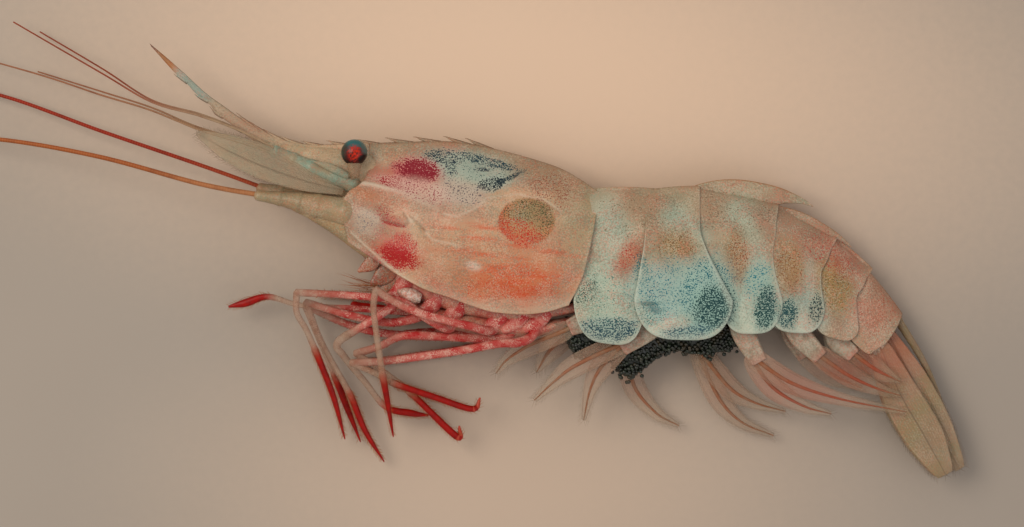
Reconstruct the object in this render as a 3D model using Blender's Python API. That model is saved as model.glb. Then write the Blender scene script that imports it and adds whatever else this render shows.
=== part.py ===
"""Armed nylon shrimp, life size, lying on its right side.

The head points to -X, the back to +Y and the left side up, to +Z. Sizes are in millimetres and become metres
when a mesh is made. The floor is z = 0, and the origin is on the flat of the right flank that touches it.
"""
import math

import bmesh
import bpy
import numpy as np
from mathutils import Vector

MM = 0.001
GAP = 0.3
UP = Vector((0, 0, 1))
SIDES = {"left": 1, "right": -1}

# Height of the body's middle plane above the floor, from the head to the tail
MID_X = (12.8, 25, 31, 39, 44, 50, 55)
MID_Z = (5.9, 5.4, 5.15, 4.65, 4.1, 3.4, 2.75)

# Carapace: outlines of the back and of the lower edge, and front and rear edges from top (0) to bottom (1)
BACK = ((-20.15, 12.48), (-16.64, 12.61), (-13, 12.74), (-7.8, 12.87), (-4.55, 12.61), (0, 11.7), (3.9, 10.66),
        (7.8, 9.36), (10.4, 7.93), (11.96, 6.89), (12.61, 6.5))
LOWER = ((-19.8, 0), (-17.5, -1.56), (-14.95, -3.25), (-12.35, -4.8), (-9.1, -6.5), (-6.5, -7.3), (-3.9, -8.3),
         (-0.65, -9.2), (2.6, -9.5), (5.85, -9.2), (8.45, -8.45))
DEPTHS = (0, 0.08, 0.2, 0.35, 0.5, 0.65, 0.8, 0.92, 1)
FRONT_EDGE = (-17.2, -17.2, -17.0, -17.6, -19.6, -20.4, -20.3, -19.9, -19.6)
REAR_EDGE = (12.6, 12.55, 12.5, 12.2, 11.8, 11.3, 10.7, 9.8, 8.9)
LENGTHS = (0, 0.15, 0.5, 0.8, 1)
HALF_WIDTHS = ((0, 0.6, 0.9, 2.4, 3.4, 3.7, 3.6, 3.4, 3.2),
               (0, 0.9, 1.9, 3.4, 4.5, 5.0, 4.9, 4.5, 4.2),
               (0, 1.5, 3.3, 5.0, 6.2, 6.35, 6.1, 5.2, 4.8),
               (0, 1.6, 3.4, 5.0, 5.95, 6.1, 5.95, 5.0, 4.6),
               (0, 1.5, 3.0, 4.4, 5.0, 5.1, 4.8, 4.4, 4.2))
CARAPACE_RINGS = 19
RIM = 0.7
GROOVE = 1.9
GROOVE_END = 0.3
GROOVE_RAMP = 0.1

# Rostrum edges, from the carapace to the tip
ROSTRUM_TOP = ((-17.95, 12.6), (-20.15, 12.5), (-23.4, 12.4), (-26, 12.6), (-27.95, 13), (-30.55, 14),
               (-33.2, 15.5), (-35.75, 17.3), (-38.35, 19.2), (-40.95, 21.6), (-43.55, 23.9), (-45.6, 25.6))
ROSTRUM_BOTTOM = ((-17.95, 10.4), (-22, 10.6), (-26, 11), (-30.2, 12), (-32.6, 13.3), (-35.2, 15.2),
                  (-36.7, 16.3), (-37.75, 17.6), (-39.5, 19), (-40.95, 20.6), (-42.25, 21.7), (-45.3, 25.1))
ROSTRUM_RINGS = 15
ROSTRUM_HALF = ((0, 0.5, 1), (0.85, 0.5, 0.2))
ROSTRUM_SECTION = ((0, 0.18), (0.25, 0.8), (0.55, 1), (0.85, 0.7), (1, 0.18))
TOOTH_LENGTH = 2.3
TOOTH_HEIGHT = 0.6
UPPER_TEETH = (-34.3, -32.6, -30.8, -28.6, -25.9, -22.9, -20.4)
CREST_TEETH = (-14.95, -11.3, -7.4, -4.55)
LOWER_TEETH = (-42.4, -39.7, -37.75, -35.2, -32.6)

# Keels along each flank of the carapace: x, y, radius
FLANK_KEELS = (((-17.6, 7.2, 0.3), (-14.8, 6.4, 0.38), (-12, 5.4, 0.3)),
               ((-18.4, 1.2, 0.3), (-15.6, -0.8, 0.36), (-13, -2.6, 0.3)))
KEEL_SUNK = 0.08

# Eyes
EYE = (-18.85, 11.3)
EYE_RADIUS = 1.7
EYE_APART = 2.9
EYE_FLAT = 9.9
EYE_RINGS = 6
EYE_TOP = 0.12
STALK_APART = 2.5
STALK_RINGS = ((8.3, 0.8), (EYE_FLAT - GAP, 0.98))
STALK_BAR_Y = 8.8
STALK_BAR_RADIUS = 0.45

# First feelers: stalk as x, y, distance from the middle plane, radius; then the two whips of each side
ANTENNULE = ((-19.9, 7.5, 1.35, 1.1), (-22.2, 8.5, 1.4, 1.1), (-24.9, 9.6, 1.5, 1.0),
             (-28.4, 11.2, 1.55, 0.8))
ANTENNULE_WHIPS = {
    "left_outer": ((-28.75, 11.6, 7.85), (-33.8, 14.2, 7.9), (-39, 16.1, 7.6), (-45.2, 17.9, 6.9),
                   (-52, 21.8, 5.4), (-63.6, 28.5, 2.6)),
    "left_inner": ((-28.85, 10.95, 7.15), (-32.5, 12.2, 7.3), (-39, 14.3, 6.9), (-45.5, 16.9, 6.0),
                   (-52, 18.9, 4.9), (-58.5, 21.1, 3.5), (-65, 23, 2.2), (-70.2, 24.4, 1.2)),
    "right_outer": ((-28.75, 11.6, 3.95), (-33.8, 14.3, 3.9), (-39, 16.4, 3.8), (-45.5, 18.3, 3.4),
                    (-52, 22.4, 2.4), (-60.3, 27.3, 1.2)),
    "right_inner": ((-28.85, 10.95, 4.65), (-32.5, 12.6, 4.5), (-39.6, 14.8, 4.0), (-45.5, 17.3, 3.2),
                    (-52, 19.4, 2.1), (-60.6, 22.1, 0.9)),
}
ANTENNULE_WHIP_RADII = {"outer": (0.42, 0.3, 0.22), "inner": (0.3, 0.3, 0.22)}

# Second feelers: stalk as x, share of its rise, radius; scale as x, y, distance out and half sizes
ANTENNA = ((-20.75, 0, 1.95), (-24.5, 0.42, 1.6), (-27.8, 0.78, 1.1), (-30.6, 1, 0.72))
ANTENNA_APART = 2.35
ANTENNA_ROOT_Y = 3.7
ANTENNA_END_Y = {"left": 5.7, "right": 6.7}
SCALE = ((-21.3, 6.3, 3.6, 0.7, 0.25), (-25.5, 7.8, 3.9, 1.7, 0.25), (-30.5, 9.9, 3.8, 2.0, 0.25),
         (-35.2, 12.0, 3.6, 1.65, 0.25), (-39.1, 13.8, 3.4, 0.35, 0.2))
SCALE_ROLL = math.radians(38)
ANTENNA_WHIPS = {
    "left": ((-30.95, 5.8, 8.2), (-39, 7.3, 7.8), (-52, 10.8, 6.1), (-65, 13.1, 3.8), (-75, 13.4, 2.0),
             (-83.5, 9.8, 0.8), (-87, 1.5, 0.5), (-86, -9, 0.5), (-82.5, -20, 0.5), (-77.5, -31, 0.5)),
    "right": ((-30.95, 6.85, 3.7), (-39, 9.75, 3.5), (-52, 14.2, 2.7), (-65, 18.85, 1.7), (-75, 20.6, 0.9),
              (-85, 17.5, 0.5), (-91.5, 9.5, 0.5), (-93.5, -2, 0.5), (-91.5, -14, 0.5), (-87.5, -25, 0.5)),
}
ANTENNA_WHIP_RADII = (0.55, 0.4, 0.25)

# Underside between the leg bases: place along X, lowest Y, half width
STERNUM = ((-18.8, -1.2, 1.3), (-16, -4.6, 1.9), (-13, -6.6, 2.5), (-10.4, -8.2, 2.9), (-5.2, -9.9, 3.1),
           (0, -10.8, 3.2), (5.2, -10.6, 3.1), (10, -9.7, 2.9))
STERNUM_RINGS = 13
STERNUM_GAP = 0.65

# Legs: place along X and side; route of the upper part or of the whole leg; route of the lower part; radii at
# the points of a whole leg. The root is worked out, and each route starts below it.
LEG_APART = 1.9
ROOT_RADIUS = 0.65
UPPER_RADII = (ROOT_RADIUS, 0.5, 0.46)
LOWER_RADII = (0.42, 0.4, 0.2)
LEGS = {
    "leg1_left": (-9, 1, ((-11.5, -10.3, 7.0), (-15, -10.7, 6.4), (-20.2, -9.6, 6.4), (-25.2, -8.1, 6.4)),
                  ((-23.5, -12.7, 5.5), (-21.6, -16.4, 5), (-19.5, -20.3, 4), (-17.7, -24.8, 3),
                   (-15.2, -29, 2)), ()),
    "leg1_right": (-9, -1, ((-13, -9.3, 4.4), (-19.5, -8.9, 4.6), (-26, -8.5, 4.4), (-30.2, -7.4, 4.0),
                            (-33.2, -8.2, 3.7), (-35.4, -8.7, 3.5)), (),
                   (0.65, 0.5, 0.42, 0.38, 0.4, 0.55, 0.14)),
    "leg2_left": (-6, 1, ((-6.5, -11.5, 8.1), (-8.1, -10.9, 9.2), (-10.3, -9.6, 9.6), (-13, -7.9, 9.4),
                          (-19, -7.2, 8.8), (-26.3, -6.8, 8.7)),
                  ((-26.3, -9.4, 8.3), (-25, -11.9, 7.5), (-23.1, -16.6, 6), (-21.6, -20.8, 4.5),
                   (-20.3, -26, 2.6)), ()),
    "leg2_right": (-6, -1, ((-6.4, -11.2, 3.3), (-7.9, -10.7, 2.8), (-10, -9.9, 2.6), (-15, -9.0, 2.9),
                            (-19.2, -8.6, 3.0)), (), (0.65, 0.5, 0.48, 0.48, 0.5, 0.6)),
    "leg3_left": (-0.5, 1, ((-0.8, -11.7, 8.3), (-1.9, -11.7, 9.4), (-3.6, -11.2, 10.3), (-6.5, -10.5, 10.9),
                            (-10.4, -9.4, 11.2), (-13.4, -8.1, 11.1), (-16, -6.4, 10.9)),
                  ((-16.3, -8.6, 10.8), (-16.0, -11.5, 10.6), (-15.3, -16.4, 10.3), (-14.6, -20.8, 8),
                   (-13.9, -25.6, 5)), ()),
    "leg3_right": (-0.5, -1, ((-3.5, -12.2, 3.8), (-7.8, -12.6, 3.5), (-15, -12.2, 3.3), (-20.2, -10.9, 3.1),
                              (-25.5, -8.5, 3.0)),
                   ((-23.9, -12.4, 2.8), (-22, -16.9, 2.4), (-20.2, -21.5, 2.0), (-18.3, -26.4, 1.6)), ()),
    "leg4_left": (2.2, 1, ((1.2, -12.4, 7.6), (-0.6, -12.8, 7.6), (-4.7, -12.7, 7.6), (-12.2, -12.4, 7.7),
                           (-15.6, -13.8, 7.6), (-18.7, -14.7, 7.6)),
                  ((-15, -17.2, 6.9), (-11.6, -19.9, 5.9), (-5.7, -25.6, 3.9), (-5.3, -24.3, 3.9)), ()),
    "leg4_right": (2.2, -1, ((1.2, -12.2, 2.8), (-0.6, -12.1, 2.3), (-4.7, -11.9, 2.1), (-12.2, -12.3, 1.9),
                             (-15.6, -13.8, 1.9), (-18.7, -14.9, 2.5)),
                   ((-15, -17.4, 2.6), (-11.6, -20.1, 2.3), (-7, -24.5, 1.3)), ()),
    "leg5_left": (5, 1, ((4.0, -12.6, 8.4), (2.2, -13.3, 9.0), (-0.1, -13.4, 9.3), (-4.9, -14.3, 9.2),
                         (-10.3, -15.1, 8.9), (-14.8, -15.7, 8.8), (-19.2, -15.9, 8.7)),
                  ((-16.3, -17.2, 8.3), (-13.4, -18.7, 7.9), (-8.5, -20.4, 6.8), (-3.6, -22, 5.2),
                   (-2.6, -20.6, 5.0)), ()),
    "leg5_right": (5, -1, ((4.0, -12.5, 2.6), (2.5, -13.0, 1.3), (-0.6, -13.1, 0.9), (-4.9, -14.3, 0.9),
                           (-10.3, -15.1, 0.9), (-14.8, -15.7, 0.9), (-19, -16, 0.9)),
                   ((-16.3, -17.5, 0.9), (-13.4, -19.0, 0.9), (-3.8, -22.1, 0.9)), ()),
    "maxilliped3_left": (-13, 1, ((-14, -8.6, 8.0), (-17, -10.7, 8.0), (-21.0, -13.3, 7.2),
                                  (-20.2, -15.2, 6.4), (-17.6, -18.5, 4.6), (-14.9, -21.8, 3.3),
                                  (-11.7, -22.6, 3.2), (-9.4, -22.9, 3.2)), (),
                         (0.75, 0.6, 0.55, 0.55, 0.5, 0.45, 0.42, 0.35, 0.14)),
    "maxilliped3_right": (-13, -1, ((-13.4, -8.0, 2.7), (-15.2, -7.6, 1.5), (-19, -7.3, 1.3),
                                    (-24, -7.2, 1.2)), (), (0.7, 0.55, 0.5, 0.45, 0.2)),
}

# Abdomen: top and bottom of each joint between segments, its half width, and how far each back arches up
JOINTS = (((13.0, 6.4), (11.3, -7.8), 4.5), ((19.8, 6.4), (18.5, -8.6), 4.65),
          ((25.2, 6.9), (27, -8.8), 4.7), ((35.6, 4.6), (35.4, -9.2), 4.2), ((43.3, 0.3), (41.2, -9.9), 3.25),
          ((48, -3.7), (45.9, -11.8), 2.4), ((52.5, -9.8), (48.6, -15.7), 1.9))
ARCHES = (0.35, 0.2, 1.2, 0.55, 0.4, 0.25)
SEGMENT_DEPTHS = (0, 0.06, 0.18, 0.35, 0.55, 0.75, 0.92, 1)
SEGMENT_SHARES = (0, 0.40, 0.72, 0.93, 1, 0.96, 0.86, 0.78)
FLAP_DEPTHS = (0, 0.06, 0.18, 0.35, 0.55, 0.75, 1, 1.5)
FLAP_SHARES = (0, 0.40, 0.72, 0.93, 1, 0.97, 0.93, 0.86)
FLAP_THICKNESS = 0.5
FLAP_COLUMNS = 7
FLAP_ROWS = 8
FLAP_SHOULDER = 0.4
SEGMENT_RINGS = 5

# Side flaps: front and rear edges at three heights, and how far the round lobe hangs below them
FLAPS = (
    (((13.4, 3), (12.3, -1.5), (10.3, -8.4)), ((19.1, 3), (18.7, -1.5), (18.0, -9)), 4.3),
    (((20.3, 3), (19.5, -0.3), (17.3, -8)), ((25.1, 3.2), (25.7, 0.1), (29.9, -7.6)), 5.4),
    (((26, 3), (26.6, -1), (28.3, -8)), ((34.9, 1.5), (35.1, -3), (35.2, -7.9)), 4.2),
    (((36.0, 1), (35.9, -3), (35.7, -8.6)), ((41.9, -2), (41.5, -5), (41.0, -9.3)), 3.4),
    (((42.9, -2.5), (42.2, -6), (41.6, -9.9)), ((46.6, -5.6), (46.2, -8), (45.7, -11.2)), 2.2),
)
FLUSH = ((0, 0.2, 0.45, 0.7, 1), (-0.4, -0.2, 0.05, 0.05, -0.2))
PROUD = ((0, 0.15, 0.3, 0.7, 1), (-0.45, 0.1, 0.85, 0.85, 0.6))

# Keels on the backs of segments 3 and 4: x, y, half height
KEEL_HALF = (0.36, 0.14)
KEELS = {
    3: ((25.6, 6.3, 0.4), (29.6, 7.5, 0.7), (33.5, 6.9, 0.8), (37.5, 5.9, 0.5), (40.75, 4.6, 0.12)),
    4: ((38.2, 2.9, 0.5), (41, 2.0, 0.6), (44, 0.85, 0.38), (46, -0.4, 0.12)),
}

# Tail fan: root as share of the joint, distance outwards and half sizes, and then points with the same
TAIL_Z = 2.75
TELSON_ROOT = (0.13, 0, 0.62, 1.1)
TELSON = ((55.4, -15.9, 0, 0.5, 0.8), (57.7, -21.4, 0, 0.4, 0.55), (59.5, -26.6, 0, 0.2, 0.25))
UROPODS = {
    "inner": ((0.46, 0.75, 0.9, 0.25), ((54.0, -18.4, 1.15, 1.6, 0.25), (56.9, -24.2, 1.2, 1.75, 0.25),
                                        (60.0, -29.8, 1.1, 0.7, 0.22))),
    "outer": ((0.77, 1.5, 0.9, 0.27), ((52.2, -20.2, 2.2, 2.0, 0.27), (55.2, -25.4, 2.35, 2.25, 0.27),
                                       (58.0, -30.5, 2.3, 1.1, 0.25))),
}

# Swimming legs: x and z of the root, foot of the stalk, and the blades
PLEOPOD_HALF = 1.1
STALK_KNEE = (0.35, 0.9, 1.15, 0.45)
BLADE_HALF = (0.5, 0.8, 0.15)
BLADE_THICK = 0.27
PLEOPODS = {
    "1_left": ((13.2, 8.5), (9.0, -11.4, 8.4),
               (((8.0, -11.9, 8.2), (4, -13.6, 6.4), (1, -15.5, 6.1), (-0.5, -17.3, 5.8)),)),
    "2_left": ((21.5, 8.2), (15.8, -14, 8.0),
               (((15.4, -13.6, 8.0), (9.8, -16.3, 7.6), (6.9, -18.5, 7.0), (4.5, -20.8, 6.2)),
                ((15.4, -14.1, 7.9), (13, -16.7, 7.2), (11.7, -19.5, 6.4), (10.9, -23.4, 5.2)))),
    "3_left": ((30.5, 7.5), (33.6, -15.8, 7.5),
               (((33.2, -15.5, 7.5), (37.7, -18.5, 7.5), (44, -20.6, 7.2), (52.6, -22.3, 6.9)),
                ((33.0, -15.9, 7.3), (35.6, -19.3, 7.0), (39.5, -21.6, 6.5), (43, -22.6, 6.0)))),
    "4_left": ((37.5, 6.4), (41.6, -15.2, 6.5),
               (((41.5, -15.0, 6.5), (45.3, -17.6, 6.1), (49, -19.3, 5.9), (52, -20.2, 5.9)),)),
    "5_left": ((43.2, 4.9), (46.0, -15.0, 5.4),
               (((46.0, -14.8, 5.4), (48.8, -16.8, 5.7), (52, -18.4, 5.8)),)),
    "1_right": ((13.2, 3.4), (9.6, -12.0, 3.6),
                (((9.2, -12.2, 3.7), (6.5, -14.4, 4.2), (4.8, -17.2, 4.0)),)),
    "2_right": ((21.5, 3.0), (16.8, -14.5, 2.8),
                (((16.6, -14.5, 2.8), (17.6, -19.2, 2.6), (20.4, -22.6, 2.2), (23.4, -24.3, 1.8)),)),
    "3_right": ((29.0, 2.8), (26.2, -15, 2.6),
                (((26.1, -14.8, 2.6), (28.6, -20.6, 2.4), (31.6, -23.8, 2.0), (35.8, -25.6, 1.6)),
                 ((26.4, -14.8, 3.3), (29.9, -19.2, 3.3), (33.2, -21.2, 3.0), (37.3, -22.4, 2.6)))),
    "4_right": ((37.5, 2.9), (40.0, -15.2, 2.4),
                (((40.0, -15.0, 2.4), (43.5, -17.6, 1.4), (47.4, -19.4, 1.1)),)),
    "5_right": ((43.2, 3.3), (45.2, -15.2, 2.3),
                (((45.2, -15.0, 2.3), (47.2, -16.6, 0.8), (48.6, -17.6, 0.7)),)),
}

# Egg mass: x and lowest Y, and its half width
EGGS = ((8.6, -11.6), (9.6, -14.6), (11, -15.2), (13, -14.6), (15, -16.4), (17, -17.8), (19, -16.2),
        (22, -14.4), (26, -14.8), (28, -14.5), (30, -14), (32, -12.6))
EGG_HALF = 1.45
EGG_SIDES = 12

TAN = (0.66, 0.53, 0.44)
PINK = (0.72, 0.38, 0.34)
RED = (0.62, 0.12, 0.09)
TEAL = (0.42, 0.55, 0.54)
OLIVE = (0.52, 0.47, 0.33)
BLACK = (0.03, 0.03, 0.03)
EGG = (0.05, 0.06, 0.05)


def clear_scene():
    """Remove what the scene holds."""
    for item in list(bpy.data.objects):
        bpy.data.objects.remove(item)


def mid(x):
    """Height of the middle plane at x."""
    return float(np.interp(x, MID_X, MID_Z))


def curve_y(points, x):
    """Y of an outline at x; the outline's points run to +X."""
    rows = np.array(points)
    return float(np.interp(x, rows[:, 0], rows[:, 1]))


def lerp(a, b, share):
    """Point between a and b."""
    return tuple(p + (q - p) * share for p, q in zip(a, b))


def smooth(points, steps):
    """Catmull-Rom curve through the points, with that many pieces to a span."""
    rows = np.array(points, float)
    ends = np.vstack([2 * rows[0] - rows[1], rows, 2 * rows[-1] - rows[-2]])
    result = []
    for p0, p1, p2, p3 in zip(ends, ends[1:], ends[2:], ends[3:]):
        for step in range(steps):
            k = step / steps
            bend = (2 * p0 - 5 * p1 + 4 * p2 - p3) * k ** 2 + (3 * p1 - p0 - 3 * p2 + p3) * k ** 3
            result.append(0.5 * (2 * p1 + (p2 - p0) * k + bend))
    result.append(rows[-1])
    return np.array(result)


def finish(colour, roughness=0.35):
    """Material of one colour, shared by the objects that ask for the same one."""
    name = "shell_" + "_".join(f"{round(100 * part):02d}" for part in colour)
    found = bpy.data.materials.get(name)
    if found:
        return found
    made = bpy.data.materials.new(name)
    made.use_nodes = True
    shader = made.node_tree.nodes["Principled BSDF"]
    shader.inputs["Base Color"].default_value = (*colour, 1)
    shader.inputs["Roughness"].default_value = roughness
    shader.inputs["Metallic"].default_value = 0
    return made


def make(name, points, faces, colour):
    """Object from points in millimetres, none of them below the floor, with its faces turned outwards."""
    mesh = bpy.data.meshes.new(name)
    mesh.from_pydata([(x * MM, y * MM, max(z, 0) * MM) for x, y, z in points], [], faces)
    cage = bmesh.new()
    cage.from_mesh(mesh)
    bmesh.ops.recalc_face_normals(cage, faces=cage.faces)
    cage.to_mesh(mesh)
    cage.free()
    mesh.materials.append(finish(colour))
    item = bpy.data.objects.new(name, mesh)
    bpy.context.scene.collection.objects.link(item)
    return item


def skin(name, rings, colour):
    """Closed surface over equal rings, whose two halves are split into triangles as mirror images."""
    count = len(rings[0])
    points = [tuple(point) for ring in rings for point in ring]
    faces = []
    for i in range(len(rings) - 1):
        for j in range(count):
            a, b = i * count + j, i * count + (j + 1) % count
            c, d = a + count, b + count
            faces += [(a, b, d), (a, d, c)] if j < count / 2 else [(a, b, c), (b, d, c)]
    for first, ring in ((0, rings[0]), ((len(rings) - 1) * count, rings[-1])):
        points.append(tuple(sum(axis) / count for axis in zip(*ring)))
        faces += [(first + j, first + (j + 1) % count, len(points) - 1) for j in range(count)]
    return make(name, points, faces, colour)


def round_section(sides):
    """Circle of unit size as (across, up) pairs."""
    return [(math.cos(2 * math.pi * k / sides), math.sin(2 * math.pi * k / sides)) for k in range(sides)]


def vane_section():
    """Flat section with a raised middle rib and two rays, as (across, up) pairs."""
    upper = [(1, 0), (0.62, 0.8), (0.3, 0.62), (0, 1.35), (-0.3, 0.62), (-0.62, 0.8)]
    return upper + [(-across, -height) for across, height in upper]


def sweep(name, route, section, colour, start=None, end=None, roll=0):
    """Section carried along a route of x, y, z, half width, half height.

    start and end turn the two end faces to those directions, and roll turns the section about the route.
    """
    places = [Vector(row[:3]) for row in route]
    rings = []
    for i, place in enumerate(places):
        ahead = places[min(i + 1, len(places) - 1)] - places[max(i - 1, 0)]
        if i == 0 and start:
            ahead = Vector(start)
        if i == len(places) - 1 and end:
            ahead = Vector(end)
        across = UP.cross(ahead).normalized()
        height = ahead.cross(across).normalized()
        turned = across * math.cos(roll) + height * math.sin(roll)
        height = height * math.cos(roll) - across * math.sin(roll)
        wide, high = route[i][3], route[i][4]
        rings.append([place + turned * a * wide + height * h * high for a, h in section])
    return skin(name, rings, colour)


def limb(name, points, radii, colour, steps=2, sides=7, start=None, end=None):
    """Round tapering limb through the points, with a radius at each of them."""
    route = smooth([(*point, radius, radius) for point, radius in zip(points, radii)], steps)
    return sweep(name, route, round_section(sides), colour, start, end)


def vane(name, points, colour, start=None, roll=0, steps=2):
    """Flat blade through the points, each x, y, z, half width, half thickness."""
    return sweep(name, smooth(points, steps), vane_section(), colour, start, roll=roll)


def largest(item):
    """Keep the closed surface of the item that holds the most."""
    cage = bmesh.new()
    cage.from_mesh(item.data)
    left = set(cage.faces)
    groups = []
    while left:
        group, edge = set(), [left.pop()]
        while edge:
            face = edge.pop()
            group.add(face)
            near = {other for side in face.edges for other in side.link_faces} & left
            left -= near
            edge += near
        groups.append(group)
    best = max(groups, key=lambda group: abs(volume(group)))
    rest = [face for group in groups if group is not best for face in group]
    bmesh.ops.delete(cage, geom=rest, context="FACES")
    cage.to_mesh(item.data)
    cage.free()


def volume(faces):
    """Volume inside a set of faces, each fanned into triangles from its first corner."""
    total = 0
    for face in faces:
        first, *rest = [corner.co for corner in face.verts]
        total += sum(first.dot(b.cross(c)) for b, c in zip(rest, rest[1:])) / 6
    return total


def fuse(item, pieces):
    """Join the pieces to the item with one union and remove them."""
    if not pieces:
        return item
    group = bpy.data.collections.new(item.name + "_pieces")
    bpy.context.scene.collection.children.link(group)
    for piece in pieces:
        group.objects.link(piece)
    union = item.modifiers.new("union", "BOOLEAN")
    union.operation = "UNION"
    union.solver = "EXACT"
    union.operand_type = "COLLECTION"
    union.collection = group
    view = bpy.context.evaluated_depsgraph_get()
    joined = bpy.data.meshes.new_from_object(item.evaluated_get(view))
    item.modifiers.clear()
    item.data = joined
    for piece in pieces:
        bpy.data.objects.remove(piece)
    bpy.data.collections.remove(group)
    largest(item)
    return item


def flank_width(x, y):
    """Half width of the carapace at a point of its side view."""
    top, bottom = curve_y(BACK, x), curve_y(LOWER, x)
    depth = (top - y) / (top - bottom)
    front = np.interp(depth, DEPTHS, FRONT_EDGE)
    rear = np.interp(depth, DEPTHS, REAR_EDGE)
    return carapace_width((x - front) / (rear - front), depth)


def carapace_width(length, depth):
    """Half width of the carapace from its share of the length and of the depth."""
    rows = [np.interp(depth, DEPTHS, row) for row in HALF_WIDTHS]
    return float(np.interp(length, LENGTHS, rows))


def groove_share(length):
    """Depth of the groove under the carapace as a share, which runs out at both ends."""
    return min(max(min(length, 1 - length) / GROOVE_RAMP, 0), 1)


def groove_top(x):
    """Y of the ceiling of the groove at x."""
    share = groove_share((x - FRONT_EDGE[-1]) / (REAR_EDGE[-1] - FRONT_EDGE[-1]))
    return curve_y(LOWER, x) + GROOVE_END + (GROOVE - GROOVE_END) * share


def carapace_ring(length):
    """Ring of the carapace: the back, one side, the grooved underside, and the other side."""
    half = []
    for front, rear, depth in zip(FRONT_EDGE, REAR_EDGE, DEPTHS):
        x = front + (rear - front) * length
        y = curve_y(BACK, x) + (curve_y(LOWER, x) - curve_y(BACK, x)) * depth
        half.append((x, y, carapace_width(length, depth)))
    x, y, width = half[-1]
    slope = RIM + 0.25 + 1.2 * (1 - groove_share(length))
    half += [(x, y + 0.05, width - RIM), (x, groove_top(x), width - slope)]
    middle = mid(x)
    left = [(px, py, middle + w) for px, py, w in half]
    right = [(px, py, middle - w) for px, py, w in half[:0:-1]]
    return left + [(x, groove_top(x), middle)] + right


def thorn(tip_x, edge, colour, rise, thick=0.36):
    """Tooth that lies forward along an edge, its root sunk in; rise is negative on a lower edge."""
    sink = -0.7 * math.copysign(1, rise)
    root_x, bend_x = tip_x + TOOTH_LENGTH, tip_x + 0.45 * TOOTH_LENGTH
    points = [(root_x, edge(root_x) + sink, mid(root_x), 0.75, thick),
              (bend_x, edge(bend_x) + 0.45 * rise, mid(root_x), 0.4, thick * 0.75),
              (tip_x, edge(tip_x) + rise, mid(root_x), 0.07, 0.07)]
    return sweep("tooth", points, round_section(5), colour)


def ridge(points, side):
    """Low keel along the flank of the carapace through points of its side view."""
    route = [(x, y, mid(x) + side * (flank_width(x, y) - KEEL_SUNK), size, size)
             for x, y, size in smooth(points, 3)]
    return sweep("ridge", route, round_section(5), TAN)


def build_carapace():
    """Carapace with its crest teeth and two keels on each side."""
    shell = skin("carapace", [carapace_ring(k / (CARAPACE_RINGS - 1)) for k in range(CARAPACE_RINGS)], TAN)
    extras = [thorn(x, lambda place: curve_y(BACK, place), TAN, TOOTH_HEIGHT) for x in CREST_TEETH]
    for side in SIDES.values():
        extras += [ridge(points, side) for points in FLANK_KEELS]
    fuse(shell, extras)


def along_edge(points, share):
    """Point at that share of an edge's length."""
    rows = np.array(points)
    run = np.concatenate([[0], np.cumsum(np.hypot(*np.diff(rows, axis=0).T))])
    return [float(np.interp(share * run[-1], run, rows[:, axis])) for axis in (0, 1)]


def build_rostrum():
    """Upturned rostrum, a thin blade with teeth on both edges."""
    rings = []
    for k in range(ROSTRUM_RINGS):
        share = k / (ROSTRUM_RINGS - 1)
        top, bottom = along_edge(ROSTRUM_TOP, share), along_edge(ROSTRUM_BOTTOM, share)
        half = float(np.interp(share, *ROSTRUM_HALF))
        level = mid(top[0])
        left = [(*lerp(top, bottom, depth), level + half * wide) for depth, wide in ROSTRUM_SECTION]
        right = [(x, y, 2 * level - z) for x, y, z in reversed(left)]
        rings.append(left + right)
    blade = skin("rostrum", rings, TAN)
    upper = [thorn(x, lambda place: curve_y(ROSTRUM_TOP[::-1], place), TAN, TOOTH_HEIGHT, 0.3)
             for x in UPPER_TEETH]
    lower = [thorn(x, lambda place: curve_y(ROSTRUM_BOTTOM[::-1], place), TAN, -TOOTH_HEIGHT, 0.26)
             for x in LOWER_TEETH]
    fuse(blade, upper + lower)


def build_eyes():
    """Round eyes with a flat under each, and the two stalks on their bar."""
    stalks = []
    for name, side in SIDES.items():
        x, y = EYE
        z = mid(x) + side * EYE_APART
        bottom = math.acos((EYE_FLAT - y) / EYE_RADIUS)
        rings = []
        for k in range(EYE_RINGS):
            angle = bottom + (EYE_TOP - bottom) * k / EYE_RINGS
            size = EYE_RADIUS * math.sin(angle)
            rings.append([(x + size * a, y + EYE_RADIUS * math.cos(angle), z + size * b)
                          for a, b in round_section(14)])
        skin(f"eye_{name}", rings, BLACK)
        foot = mid(x) + side * STALK_APART
        rings = [[(x + size * a, height, foot + size * b) for a, b in round_section(10)]
                 for height, size in STALK_RINGS]
        stalks.append(skin("stalk", rings, TAN))
    size = STALK_BAR_RADIUS
    bar = [[(EYE[0] + size * a, STALK_BAR_Y + size * b, mid(EYE[0]) + reach) for a, b in round_section(8)]
           for reach in (-STALK_APART, STALK_APART)]
    fuse(skin("eyestalks", bar, TAN), stalks)


def build_antennules():
    """Stalks of the first feelers, each with a thick outer and a thin inner whip."""
    level = mid(EYE[0])
    for name, side in SIDES.items():
        points = [(x, y, level + side * apart) for x, y, apart, _ in ANTENNULE]
        limb(f"antennule_{name}", points, [row[3] for row in ANTENNULE], TEAL, sides=10, start=(-1, 0, 0))
    for name, points in ANTENNULE_WHIPS.items():
        places = (0, 2, len(points) - 1)
        radii = np.interp(range(len(points)), places, ANTENNULE_WHIP_RADII[name.split("_")[1]])
        limb(f"antennule_whip_{name}", points, radii, PINK, steps=3, sides=5)


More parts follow.
